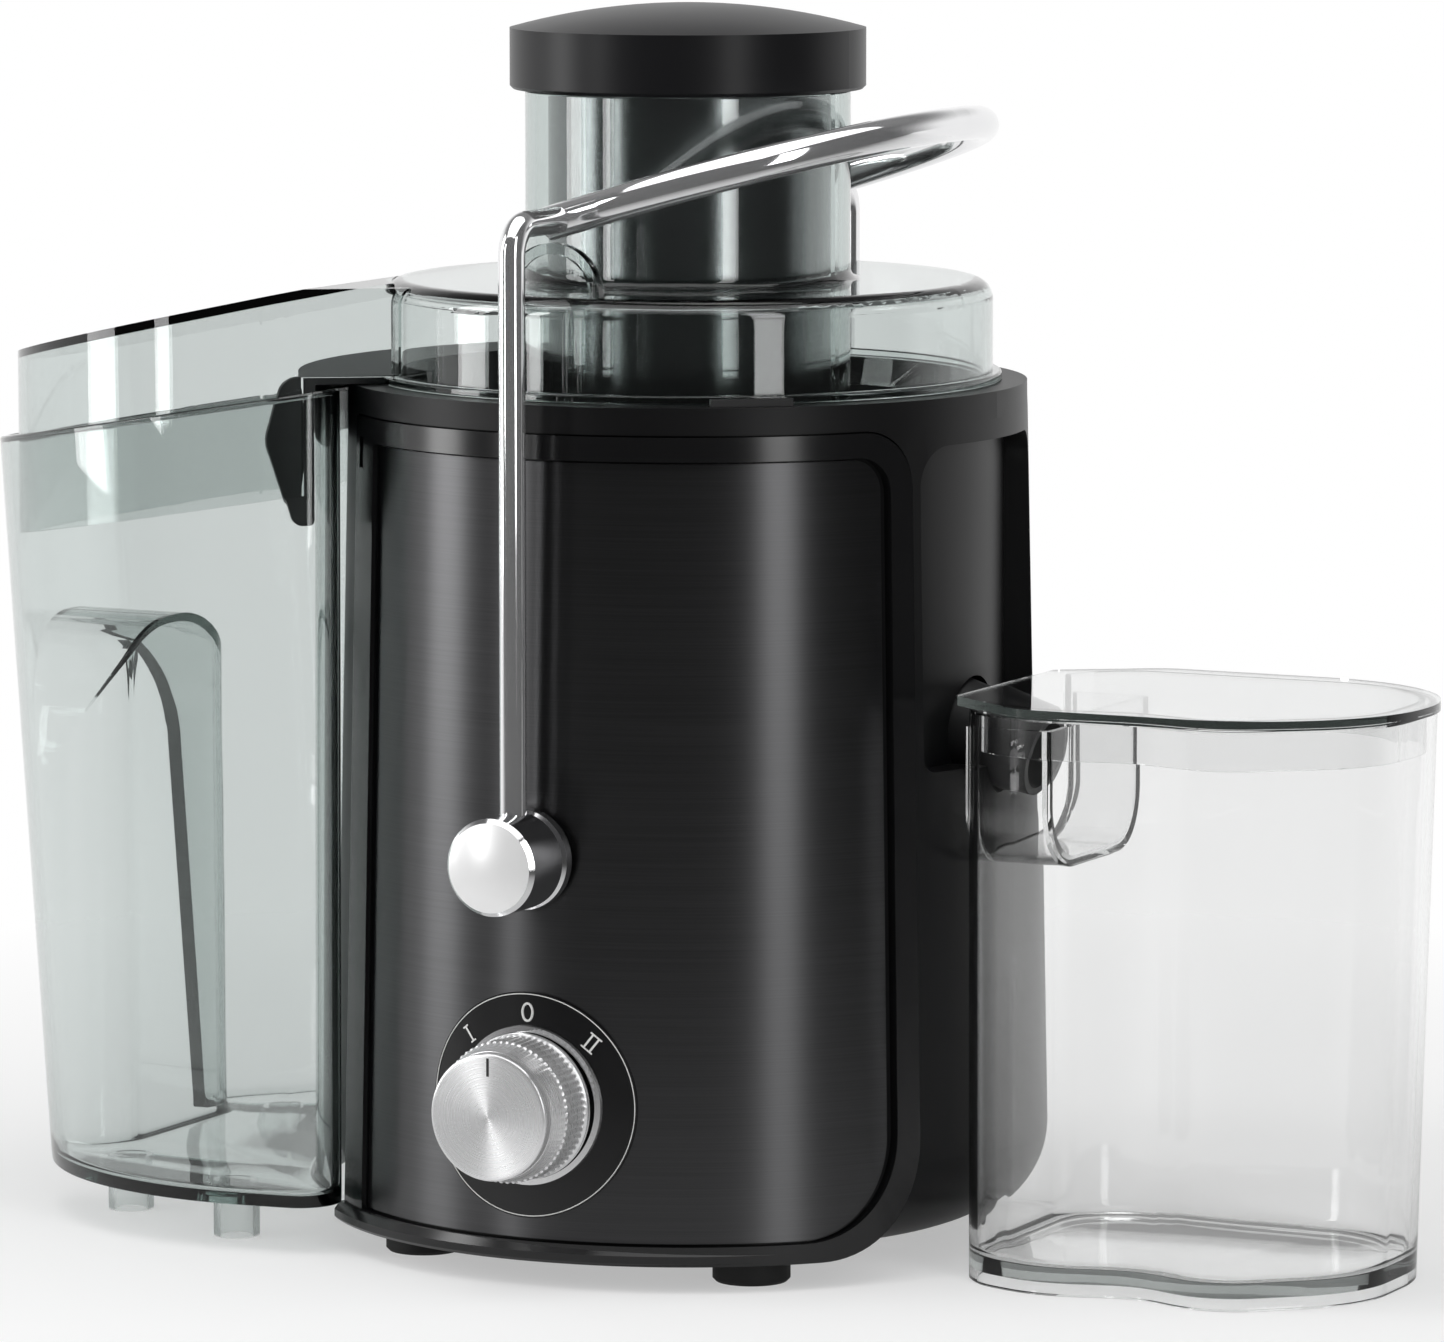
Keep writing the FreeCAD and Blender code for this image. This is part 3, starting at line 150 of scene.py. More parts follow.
# %% What a ray sees
def ray_kinds(tree):
    """Two shares for a studio's material: plain is 1 for the camera and for rays that only passed through
    clear plastic, sharp is 1 for every mirrored or clear path. Diffuse rays get 0 for both."""
    path = add(tree, "ShaderNodeLightPath")
    mirrored, clear_way = path.outputs["Is Glossy Ray"], path.outputs["Is Transmission Ray"]
    unturned = add(tree, "ShaderNodeMath", {0: path.outputs["Glossy Depth"], 1: 0.5}, operation="LESS_THAN")
    through = add(tree, "ShaderNodeMath", {0: clear_way, 1: unturned.outputs[0]}, operation="MULTIPLY")
    plain = add(tree, "ShaderNodeMath", {0: path.outputs["Is Camera Ray"], 1: through.outputs[0]},
                operation="MAXIMUM")
    sharp = add(tree, "ShaderNodeMath", {0: mirrored, 1: clear_way}, operation="MAXIMUM")
    return plain.outputs[0], sharp.outputs[0]


lit_side = (-0.5, 0.87, 0.0)         # the white half of the room: behind the machine and to its left


def lit_share(tree, way, dark_end, white_end, darkest):
    """How white the room is that way: darkest where way along lit_side is under dark_end, rising
    smoothly to 1 at white_end."""
    behind = add(tree, "ShaderNodeVectorMath", {0: way, 1: lit_side}, operation="DOT_PRODUCT")
    share = add(tree, "ShaderNodeMapRange",
                {"Value": behind.outputs["Value"], "From Min": dark_end, "From Max": white_end,
                 "To Min": darkest, "To Max": 1.0}, interpolation_type="SMOOTHSTEP")
    return share.outputs[0]


print("the room's white side is towards", lit_side)

# %% World
world = bpy.data.worlds.new("studio")
scene.world = world
world.use_nodes = True
tree = world.node_tree
tree.nodes.clear()
out = tree.nodes.new("ShaderNodeOutputWorld")
plain, sharp = ray_kinds(tree)
toward = add(tree, "ShaderNodeTexCoord")
# The walls turn from dark to white round the room, and from full to a tenth towards the ceiling.
wall = lit_share(tree, toward.outputs["Generated"], -0.2, 0.4, 0.0)
parts = add(tree, "ShaderNodeSeparateXYZ", {0: toward.outputs["Generated"]})
ceiling = add(tree, "ShaderNodeMapRange",
              {"Value": parts.outputs["Z"], "From Min": 0.25, "From Max": 0.7, "To Min": 1.0, "To Max": 0.1},
              interpolation_type="SMOOTHSTEP")
white = add(tree, "ShaderNodeMath", {0: wall, 1: ceiling.outputs[0]}, operation="MULTIPLY")
room = add(tree, "ShaderNodeMix",
           {"Factor": white.outputs[0], "A": linear("#444445"), "B": linear("#ffffff")}, data_type="RGBA")
fill = add(tree, "ShaderNodeBackground", {"Color": linear("#d6d6d6"), "Strength": 0.22})
mirrored = add(tree, "ShaderNodeBackground", {"Color": room.outputs["Result"], "Strength": 1.0})
bright = add(tree, "ShaderNodeBackground", {"Color": linear("#ffffff"), "Strength": 1.0})
dim = add(tree, "ShaderNodeMixShader", {0: sharp, 1: fill.outputs[0], 2: mirrored.outputs[0]})
mix = add(tree, "ShaderNodeMixShader", {0: plain, 1: dim.outputs[0], 2: bright.outputs[0]})
tree.links.new(mix.outputs[0], out.inputs["Surface"])
print("world:", world.name, "of", len(tree.nodes), "nodes")

# %% Floor
reach = 40.0                         # metres to each side, so that its edge is never seen
floor_mesh = bpy.data.meshes.new("floor")
floor_mesh.from_pydata([(-reach, -reach, 0), (reach, -reach, 0), (reach, reach, 0), (-reach, reach, 0)],
                       [], [(0, 1, 2, 3)])
floor = bpy.data.objects.new("floor", floor_mesh)
scene.collection.objects.link(floor)
paper, tree, out = blank("white_backdrop_paper")
plain, sharp = ray_kinds(tree)
see = add(tree, "ShaderNodeMath", {0: plain, 1: sharp}, operation="MAXIMUM")
place = add(tree, "ShaderNodeTexCoord")
# Near the machine the paper is half matt, so that it keeps the shadow; half a metre away it only glows.
away = add(tree, "ShaderNodeVectorMath", {0: place.outputs["Object"]}, operation="LENGTH")
fade = add(tree, "ShaderNodeMapRange",
           {"Value": away.outputs["Value"], "From Min": 0.2, "From Max": 0.55, "To Min": 0.45, "To Max": 1.0})
share = add(tree, "ShaderNodeMath", {0: see.outputs[0], 1: fade.outputs[0]}, operation="MULTIPLY")
# In a mirror the paper is bright on the room's white side and nearly black in front of the machine.
mirrored = lit_share(tree, place.outputs["Object"], -0.45, 0.3, 0.06)
power = add(tree, "ShaderNodeMath", {0: plain, 1: mirrored}, operation="MAXIMUM")
matt = add(tree, "ShaderNodeBsdfDiffuse", {"Color": linear("#f4f4f4")})
glow = add(tree, "ShaderNodeEmission", {"Color": linear("#ffffff"), "Strength": power.outputs[0]})
mix = add(tree, "ShaderNodeMixShader", {0: share.outputs[0], 1: matt.outputs[0], 2: glow.outputs[0]})
tree.links.new(mix.outputs[0], out.inputs["Surface"])
floor_mesh.materials.append(paper)
print("floor:", paper.name, "reaching", reach, "metres each way")


# %% Lamps
def softbox(name, place, target, size, power):
    """A rectangular area lamp at place, facing target, both in metres from the frame's origin."""
    lamp = bpy.data.lights.new(name, "AREA")
    lamp.shape = "RECTANGLE"
    lamp.size, lamp.size_y = size
    lamp.energy = power
    made = bpy.data.objects.new(name, lamp)
    made.location = place
    made.rotation_euler = (Vector(target) - Vector(place)).to_track_quat("-Z", "Y").to_euler()
    scene.collection.objects.link(made)
    print(name, "at", place, "watts", power)


softbox("top_box", (0.0, -0.3, 2.2), (0, 0, 0.1), (2.6, 2.6), 38)
softbox("left_strip", (-1.35, -0.75, 0.5), (0, 0, 0.15), (0.4, 1.6), 12)
softbox("right_box", (1.35, -0.9, 0.7), (0, 0, 0.15), (0.35, 1.5), 8)
softbox("front_strip", (-1.1, -1.72, 0.6), (0, 0, 0.15), (0.22, 1.2), 6)

# %% [markdown]
# ## Finishes of the opaque parts
# The housing is injection-moulded ABS with a fine spark-eroded texture: it scatters light into a broad,
# dim sheen. The frame round the panel and the dial are the same plastic from a polished mould. One recipe
# serves every opaque part, because they differ only in colour, gloss, metal and the size of their texture:
# a fine noise is the relief, and a broad one lets gloss and colour wander as they do on any real moulding.

# %% Opaque finishes
patch = 35.0                         # mm across the broad patches
patch_shade = 0.06                   # how far a patch is lighter or darker


def finish(name, colour, rough, metallic=0.0, grain=0.4, bump=0.02, mottle=0.05, **sockets):
    """A moulded or plain metal finish. grain is the size in mm of the surface's texture, bump its depth
    in mm, and mottle how far the roughness wanders: rough + mottle * (noise - 0.5)."""
    made, tree, out = blank(name)
    place = add(tree, "ShaderNodeTexCoord")
    fine = add(tree, "ShaderNodeTexNoise",
               {"Vector": place.outputs["Object"], "Scale": 1000 / grain, "Detail": 2.0})
    broad = add(tree, "ShaderNodeTexNoise",
                {"Vector": place.outputs["Object"], "Scale": 1000 / patch, "Detail": 3.0})
    wander = add(tree, "ShaderNodeMapRange",
                 {"Value": broad.outputs["Fac"], "To Min": rough - mottle / 2, "To Max": rough + mottle / 2})
    shade = add(tree, "ShaderNodeMapRange",
                {"Value": broad.outputs["Fac"], "To Min": 1 - patch_shade, "To Max": 1 + patch_shade})
    tint = add(tree, "ShaderNodeVectorMath", {0: linear(colour)[:3], "Scale": shade.outputs[0]},
               operation="SCALE")
    relief = add(tree, "ShaderNodeBump",
                 {"Height": fine.outputs["Fac"], "Strength": 0.35, "Distance": bump * MM})
    surface = add(tree, "ShaderNodeBsdfPrincipled",
                  {"Base Color": tint.outputs[0], "Roughness": wander.outputs[0], "Metallic": metallic,
                   "Normal": relief.outputs[0], **sockets})
    tree.links.new(surface.outputs[0], out.inputs["Surface"])
    return made


low_gloss = {"Specular IOR Level": 0.26}

# Plastics and rubber: a spark-eroded mould leaves a pitted, dim surface, a polished one a dark gloss.
satin_abs = finish("abs_spark_textured", "#0e0e0f", 0.4, grain=0.5, bump=0.02, **low_gloss)
dark_abs = finish("abs_spark_textured_inside", "#1c1c1d", 0.5, grain=0.5, bump=0.03)
cap_abs = finish("abs_fine_satin_cap", "#151517", 0.36, grain=0.45, bump=0.02, **low_gloss)
gloss_abs = finish("abs_polished_mould", "#0f0f10", 0.2, grain=1.2, bump=0.004, mottle=0.04)
rubber = finish("rubber_moulded", "#151515", 0.7, grain=0.6, bump=0.04)
# The pusher's body has a thin metal film on smoked plastic: it mirrors the room in grey.
mirror_abs = finish("abs_metallised_smoke", "#828384", 0.2, metallic=0.95, grain=1.2, bump=0.003,
                    mottle=0.04)
# Bare metals: stamped steel is smooth and pale, a die casting dull and grained, a winding has its lacquer.
steel = finish("steel_stamped", "#a9aaac", 0.3, metallic=1.0, grain=0.8, bump=0.01)
cast = finish("aluminium_die_cast", "#b4b5b7", 0.42, metallic=1.0, grain=0.9, bump=0.05)
copper = finish("copper_enamelled_winding", "#a4552e", 0.35, metallic=0.85, grain=1.1, bump=0.12)
# Chrome plate mirrors almost perfectly; over a turned surface its mirror is a little blurred.
chrome = finish("chrome_plate_on_steel", "#ededee", 0.07, metallic=0.88, grain=2.5, bump=0.002, mottle=0.03)
turned_chrome = finish("chrome_plate_turned", "#e6e6e7", 0.12, metallic=1.0, grain=1.5, bump=0.003,
                       mottle=0.04)
print("opaque finishes:", len(bpy.data.materials) - 1)

# %% [markdown]
# ## Clear plastic
# The see-through parts are SAN, a clear hard plastic. A wall is almost colourless face on, and dark where
# the eye looks along it through a centimetre or more, which is what draws the outlines of the container
# and the jug. That comes from absorption inside the solid, not from paint on its surface. Only the
# container's rim line is darkened further, as painted shade.

# %% Clear finishes
haze_size = 18.0                     # mm across the patches over which the polish wanders
haze_spread = 0.6                    # and how far, as a share of the roughness


def clear(name, tint, density, rough=0.012, pass_light=0.75):
    """Clear moulded plastic: light falls by exp(-density * (1 - tint) * metres) inside, and shadow
    rays pass pass_light of the way so that the inside stays bright."""
    made, tree, out = blank(name)
    place = add(tree, "ShaderNodeTexCoord")
    haze = add(tree, "ShaderNodeTexNoise",
               {"Vector": place.outputs["Object"], "Scale": 1000 / haze_size, "Detail": 2.0})
    polish = add(tree, "ShaderNodeMapRange",
                 {"Value": haze.outputs["Fac"], "To Min": rough * (1 - haze_spread),
                  "To Max": rough * (1 + haze_spread)})
    glass = add(tree, "ShaderNodeBsdfPrincipled",
                {"Base Color": (1, 1, 1, 1), "IOR": 1.49, "Roughness": polish.outputs[0],
                 "Transmission Weight": 1.0})
    open_air = add(tree, "ShaderNodeBsdfTransparent", {"Color": linear(tint)})
    path = add(tree, "ShaderNodeLightPath")
    passing = add(tree, "ShaderNodeMath", {0: path.outputs["Is Shadow Ray"], 1: pass_light},
                  operation="MULTIPLY")
    mix = add(tree, "ShaderNodeMixShader",
              {0: passing.outputs[0], 1: glass.outputs[0], 2: open_air.outputs[0]})
    tree.links.new(mix.outputs[0], out.inputs["Surface"])
    inside = add(tree, "ShaderNodeVolumeAbsorption", {"Color": linear(tint), "Density": density})
    tree.links.new(inside.outputs[0], out.inputs["Volume"])
    return made


# The container and lid are smoked grey-green, the jug nearly colourless. Its lid is thin and takes a denser
# grey to show. The container's rim edge is looked along, so its near-black line is painted shade in a denser
# plastic.
smoke_clear = clear("san_clear_grey_green", "#a9bbb7", 150.0)
water_clear = clear("san_clear", "#d2d5d4", 36.0)
plate_clear = clear("san_clear_jug_plate", "#d2d5d4", 100.0)
# Painted shade: this near-black, very dense plastic goes only on the container's rim line and stands for the
# dark that a long look along the wall gives.
rim_painted_shade_clear = clear("san_clear_rim_painted_shade", "#53625f", 900.0)
print("clear finishes:", smoke_clear.name, water_clear.name, plate_clear.name, rim_painted_shade_clear.name)

# %% [markdown]
# ## Which part wears what
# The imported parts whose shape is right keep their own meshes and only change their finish. Parts that are
# swapped below get a finish too, so that none is left plain.

# %% Finishes onto the frame's parts
worn_by = {
    satin_abs: ["base_housing", "bottom_plate", "rotary_switch", "interlock_switch"],
    dark_abs: ["juice_bowl", "basket_rim", "drive_coupling", "cooling_fan", "brush_holders"],
    cap_abs: ["pusher_cap"],
    gloss_abs: ["front_frame", "dial_plate"],
    mirror_abs: ["pusher_body"],
    rubber: ["rubber_feet", "motor_bushes", "shaft_seal", "bowl_gasket"],
    steel: ["bottom_screws", "motor_stator", "lower_bearing", "upper_bearing", "motor_screws",
            "front_arm_stud", "rear_arm_stud", "motor_shaft", "armature", "filter_basket", "grater_disc",
            "basket_nut", "knob_shaft", "front_panel"],
    cast: ["knob_body", "knob_cap", "lower_bracket", "upper_bracket"],
    copper: ["field_coils", "commutator"],
    chrome: ["arm_loop", "arm_front_leg", "arm_rear_leg", "dial_bezel"],
    turned_chrome: ["front_pivot_cap", "rear_pivot_cap"],
    smoke_clear: ["lid", "pulp_container"],
    water_clear: ["juice_jug"],
    plate_clear: ["jug_lid"],
}
for material, names in worn_by.items():
    for name in names:
        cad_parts[name].data.materials.clear()
        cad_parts[name].data.materials.append(material)
dressed = sum(len(names) for names in worn_by.values())
print("dressed", dressed, "of", len(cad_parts), "nodes")

# %% [markdown]
# ## Surfaces worked out on a grid
# The pieces below are grids of points: one parameter runs along the rows and the other round the columns,
# each point comes from a formula over whole arrays, and neighbouring points make a quad. The parameters
# are kept as the UV map where a brushed grain has to follow the surface.

# %% Grid helpers
crisp = math.radians(32)             # an edge between faces that turn more than this stays sharp


def cells(rows, columns, closed):
    """Corner indices of the quads of a grid; closed joins the last column to the first."""
    r, c = np.meshgrid(np.arange(rows - 1), np.arange(columns if closed else columns - 1), indexing="ij")
    after = (c + 1) % columns
    return np.stack((r * columns + c, r * columns + after, (r + 1) * columns + after,
                     (r + 1) * columns + c), -1).reshape(-1, 4)


def piece(name, points, faces, material, body, slot, uv=None, swap=()):
    """A mesh in metres from points [n, 3] in mm and faces, riding on body and standing for the CAD
    nodes in swap. Points closer than a micrometre are merged, which closes seams and poles."""
    mesh = bpy.data.meshes.new(name)
    mesh.from_pydata((np.asarray(points) * MM).tolist(), [], [list(map(int, face)) for face in faces])
    if uv is not None:
        loops = np.zeros(len(mesh.loops), np.int32)
        mesh.loops.foreach_get("vertex_index", loops)
        mesh.uv_layers.new(name="surface").data.foreach_set("uv", np.asarray(uv, float)[loops].ravel())
    mesh.materials.append(material)
    work = bmesh.new()
    work.from_mesh(mesh)
    bmesh.ops.remove_doubles(work, verts=work.verts, dist=1e-6)
    bmesh.ops.recalc_face_normals(work, faces=work.faces)
    work.to_mesh(mesh)
    work.free()
    mesh.shade_smooth()
    mesh.set_sharp_from_angle(angle=crisp)
    made = bpy.data.objects.new(name, mesh)
    scene.collection.objects.link(made)
    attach(made, body)
    if swap:
        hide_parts(*swap)
    print(name, len(mesh.vertices), "points on", body)


def slab(outer, inner):
    """Points and faces of a closed sheet between two grids [rows, columns, 3] of the same size."""
    rows, columns, _ = outer.shape
    front = cells(rows, columns, False)
    number = np.arange(rows * columns).reshape(rows, columns)
    edge = np.concatenate((number[0, :-1], number[:-1, -1], number[-1, :0:-1], number[:0:-1, 0]))
    ahead = np.roll(edge, -1)
    back = rows * columns
    rim = np.stack((edge, ahead, ahead + back, edge + back), -1)
    faces = np.concatenate((front, front[:, ::-1] + back, rim))
    return np.concatenate((outer.reshape(-1, 3), inner.reshape(-1, 3))), faces


def lathe(profile, centre, axis, side, columns, radius=None):
    """Points, faces and UV of a profile [(radius, height)] turned about an axis through centre:
    point = centre + r (side cos a + across sin a) + h axis. radius(a, r, h) may change r."""
    profile = np.asarray(profile, float)
    centre, axis, side = (np.asarray(v, float) for v in (centre, axis, side))
    across = np.cross(axis, side)
    turn = np.linspace(0, 2 * np.pi, columns, endpoint=False)
    r, a = np.meshgrid(profile[:, 0], turn, indexing="ij")
    h = np.repeat(profile[:, 1:2], columns, 1)
    r = radius(a, r, h) if radius else r
    points = (centre + r[..., None] * (side * np.cos(a)[..., None] + across * np.sin(a)[..., None])
              + h[..., None] * axis)
    run = np.concatenate(([0], np.cumsum(np.hypot(*np.diff(profile, axis=0).T))))
    uv = np.stack((a / (2 * np.pi), np.repeat(run[:, None] / run[-1], columns, 1)), -1)
    return points.reshape(-1, 3), cells(len(profile), columns, True), uv.reshape(-1, 2)


def unit(v):
    """The vectors in the rows of v, each scaled to length 1."""
    return v / np.linalg.norm(v, axis=1, keepdims=True)


slant = np.array((0.31, 0.87, 0.38))            # a direction that no bent bar here runs along


def hoop(line, radius, columns):
    """Points and faces of a round bar of this radius carried along a closed line [n, 3]: each ring is
    line + radius (up cos a + across sin a), with up and across square to the line's own direction."""
    ahead = unit(np.roll(line, -1, 0) - np.roll(line, 1, 0))
    up = unit(np.cross(ahead, slant))
    across = np.cross(ahead, up)
    turn = np.linspace(0, 2 * np.pi, columns, endpoint=False)
    ring = (line[:, None] + radius * (up[:, None] * np.cos(turn)[None, :, None]
                                      + across[:, None] * np.sin(turn)[None, :, None]))
    ring = np.concatenate((ring, ring[:1]))
    return ring.reshape(-1, 3), cells(len(ring), columns, True)


def join(*meshes):
    """Points and faces of several meshes as one."""
    starts = np.cumsum([0] + [len(points) for points, _ in meshes[:-1]])
    faces = [[int(i) + start for i in face] for (_, some), start in zip(meshes, starts) for face in some]
    return np.concatenate([points for points, _ in meshes]), faces


print("3 rows of 4 columns, closed, make", len(cells(3, 4, True)), "quads")

# %% [markdown]
# ## The housing's cone
# The housing is a slightly tapered drum. Its radius at any height follows from the widest part of its
# box and the taper, and everything that lies on its front is laid on that cone.

# %% The skin as a function of height
(housing_left, _, foot_z), (housing_right, _, collar_z) = box_mm("base_housing")
heel = 21.5                                     # mm, height of the rounded lower edge
widest = (housing_right - housing_left) / 2
taper = 4.5 / (collar_z - foot_z)               # the radius loses 4.5 mm over the housing's height


def skin(z):
    """Radius in mm of the outer skin: the widest radius less the taper times the height above the heel."""
    return widest - taper * (np.asarray(z, float) - foot_z - heel)


def on_front(x, z, proud):
    """Points in mm on the front of the cone, proud mm out from its skin, from x across and z up."""
    r = skin(z) + proud
    return np.stack((cx + x, -np.sqrt(r * r - x * x), z * np.ones_like(x)), -1)


print("skin radius at the foot", round(float(skin(foot_z)), 2),
      "at the collar", round(float(skin(collar_z)), 2))

# %% [markdown]
# ## Outlines for clear walls
# Clear plastic bends what is seen through it, so its walls are worked out finely. An outline is a polygon
# with a radius at each corner. One parameter runs round it: corner i's arc takes i to i + 0.5 and the side
# after it i + 0.5 to i + 1, so outlines with the same corners match point by point at any height.

# %% Rounded outlines
def outline(corners, t):
    """Points [n, 2] of a rounded polygon at parameters t. A corner p of radius r and half angle h has its
    arc's centre r / sin h along the bisector and its arc's ends r / tan h along the two sides."""
    c = np.asarray(corners, float)
    p, r = c[:, :2], c[:, 2:]
    before, after = unit(np.roll(p, 1, 0) - p), unit(np.roll(p, -1, 0) - p)
    half = np.arccos(np.clip((before * after).sum(1, keepdims=True), -1, 1)) / 2
    centre = p + unit(before + after) * r / np.sin(half)
    first, last = p + before * r / np.tan(half), p + after * r / np.tan(half)
    i = np.floor(t).astype(int) % len(c)
    f = (t % 1)[:, None] * 2
    swing = np.pi - 2 * half[i]
    leaving = np.sin((1 - f) * swing) * (first - centre)[i]
    nearing = np.sin(f * swing) * (last - centre)[i]
    side = last[i] + (f - 1) * (np.roll(first, -1, 0)[i] - last[i])
    return np.where(f < 1, centre[i] + (leaving + nearing) / np.sin(swing), side)


def drawn_in(corners, t, least_r=0.4):
    """The outline moved inwards by t mm: each side shifts along its normal, and a corner's radius loses
    t where it bulges, down to least_r, and gains t where it is hollow. Corners run counter-clockwise."""
    c = np.asarray(corners, float)
    before = unit(c[:, :2] - np.roll(c, 1, 0)[:, :2])
    after = np.roll(before, -1, 0)
    n1, n2 = before[:, ::-1] * (-1, 1), after[:, ::-1] * (-1, 1)
    shift = (n1 + n2) * t / (1 + (n1 * n2).sum(1, keepdims=True))
    bulge = before[:, 0] * after[:, 1] - before[:, 1] * after[:, 0] > 0
    radius = np.where(bulge, np.maximum(c[:, 2] - t, least_r), c[:, 2] + t)
    return np.column_stack((c[:, :2] + shift, radius))


def spots(count, per_arc, per_side, steps, more=(), near=0.0015):
    """Parameters round an outline of count corners, with a near pair at each step and the ones in more."""
    arc = np.arange(per_arc) / per_arc / 2
    side = 0.5 + np.arange(per_side) / per_side / 2
    base = (np.arange(count)[:, None] + np.concatenate((arc, side))).ravel()
    pairs = np.concatenate([[step - near, step + near] for step in steps])
    return np.unique(np.concatenate((base, pairs, more)) % count)


def crossings(corners, level, inside):
    """Parameters where the outline's |y| passes level, among points where inside(x) holds."""
    t = np.linspace(0, len(corners), 20001)[:-1]
    x, y = outline(corners, t).T
    gap = np.abs(y) - level
    hit = np.flatnonzero((gap[:-1] * gap[1:] < 0) & inside(x[:-1]))
    return t[hit] + (t[1] - t[0]) * gap[hit] / (gap[hit] - gap[hit + 1])


square = [(0, 0, 2), (10, 0, 2), (10, 10, 2), (0, 10, 2)]
print("a 10 mm square drawn in by 1 mm starts at corner", drawn_in(square, 1.0)[0].tolist())

# %% Walls from outlines
lip = 0.4                                       # mm, the rounding along a wall's rim and foot
floor_round = 2.4                               # mm, radius where a wall meets its floor inside


def shell(rows):
    """Closed skin from rows of points [m, n, 3]: quads between rows and a flat cap at each end."""
    rows = np.asarray(rows)
    m, n, _ = rows.shape
    caps = [np.arange(n)[::-1].tolist(), (np.arange(n) + (m - 1) * n).tolist()]
    return rows.reshape(-1, 3), cells(m, n, True).tolist() + caps


def inner_corner(inset, floor, count):
    """Pairs of inset and height down the round corner from a wall's inside onto its floor: the inset
    grows by r (1 - cos a) while the height falls to floor + r - r sin a."""
    a = np.linspace(0.2, np.pi / 2, count)
    return zip(inset + floor_round * (1 - np.cos(a)), floor + floor_round - floor_round * np.sin(a))


print("floors have a round of", floor_round, "mm")

# %% [markdown]
# ## Juice jug
# The jug is a thin moulded wall on a D-shaped plan: blunt against the machine, round outwards, with a
# waist and a soft lobe along its front. A lathe could not make it, so its wall is a stack of outlines, up
# outside, over the rim and down again inside. Its rim dips into a U where the spout reaches in, and a
# short channel inside catches the juice.

# %% Juice jug outlines
(jug_left, _, _), (jug_end, jug_back, jug_high) = (corner - (cx, 0, 0) for corner in box_mm("juice_jug"))
back_share = 0.98                               # of the half width, where the straight back side lies
jug_half = jug_back / back_share
jug_long = jug_end - jug_left + 2.0             # to the round edge of its lid, 2 mm past the rim
jug_draft, jug_lean, jug_waist = 1.2, 4.0, 5.0  # at the foot: narrower, shorter, and drawn in


def jug_plan(half, end, waist):
    """The jug's outline as corners (x, y, radius): blunt end at the machine, round end outwards, and the
    front side drawn in by waist mm."""
    waist_x = jug_left + jug_long * 0.46
    lobe_x = waist_x + (end - waist_x) * 0.43
    blunt_end, shoulder = (jug_left, -half * 0.82, 20.0), (jug_left + jug_long * 0.24, -half * 1.04, 30.0)
    hollow, lobe = (waist_x, waist - half, jug_long * 0.2), (lobe_x, -half * 1.1, jug_long * 0.19)
    round_end = [(end, -half * 0.5, half * 0.75), (end, half * back_share, half * 0.86)]
    return [blunt_end, shoulder, hollow, lobe, *round_end, (jug_left, half * back_share, 22.0)]


jug_foot = jug_plan(jug_half - jug_draft, jug_end - jug_lean, jug_waist)
jug_rim = jug_plan(jug_half, jug_end, jug_waist / 2)
print("jug", round(jug_end - jug_left, 1), "mm long and", round(jug_high, 1), "mm high")

# %% Juice jug wall
jug_wall = 2.0
jug_recess = 3.0                                # the foot is a rim round this hollow
jug_floor = 6.4                                 # height of the floor inside
trough_half = 28.0
trough_low = jug_high - 37.4


def at_blunt_end(x):
    """Whether a point at x mm from the motor axis is within 15 mm of the jug's end at the machine."""
    return x < jug_left + 15


jug_t = spots(len(jug_rim), 26, 14, crossings(jug_rim, trough_half, at_blunt_end))


def jug_edge():
    """Heights of the rim over each column: level, but in the mouth a flat bottom between two quarter
    circles, z = low + b - sqrt(b^2 - d^2), where d is how far out past b a point lies."""
    x, y = outline(jug_rim, jug_t).T
    aside = np.abs(y)
    b = trough_half / 2
    dip = trough_low + b - np.sqrt(np.clip(b ** 2 - np.clip(aside - b, 0, b) ** 2, 0, None))
    return np.where((aside < trough_half) & at_blunt_end(x), dip, jug_high)


def jug_row(inset, z):
    """Points round the jug at heights z, between its foot's outline and its rim's, drawn in by inset."""
    z = np.broadcast_to(z, jug_t.shape)
    low, high = (outline(drawn_in(plan, inset), jug_t) for plan in (jug_foot, jug_rim))
    return np.column_stack((low + (high - low) * (z / jug_high)[:, None] + (cx, 0), z))


jug_top = jug_edge()
up = np.linspace(0, 1, 48)
inner_long = jug_top - lip - jug_floor - floor_round
foot_steps = ((jug_wall, jug_recess), (jug_wall, lip), (jug_wall - lip, 0.0), (lip, 0.0))
jug_rows = [jug_row(inset, z) for inset, z in foot_steps]
jug_rows += [jug_row(0, lip + (jug_top - 2 * lip) * v) for v in up]
jug_rows += [jug_row(lip, jug_top), jug_row(jug_wall - lip, jug_top)]
jug_rows += [jug_row(jug_wall, jug_top - lip - inner_long * v) for v in up]
jug_rows += [jug_row(inset, z) for inset, z in inner_corner(jug_wall, jug_floor, 7)]
print("jug wall:", len(jug_rows), "rows of", len(jug_t), "points")

# %% Spout channel in the jug
channel_top = jug_high - 4.5
channel_end = jug_left + 21.5
channel_wall = 1.6


def channel_row(x, grow, shrink=1.0):
    """Points of the spout's U-shaped channel, across the jug at x: sides grow mm outside the channel, and
    the whole U scaled by shrink about the middle of its open top."""
    half, low = trough_half + grow, trough_low - grow
    turn = np.linspace(0, np.pi / 2, 16)
    r = half * 0.5
    left = np.stack((-half + r - r * np.cos(turn), low + r - r * np.sin(turn)), -1)
    y, z = np.concatenate(([(-half, channel_top)], left, left[::-1] * (-1, 1), [(half, channel_top)])).T
    return np.stack((np.full(len(y), x + cx), y * shrink, channel_top + (z - channel_top) * shrink), -1)


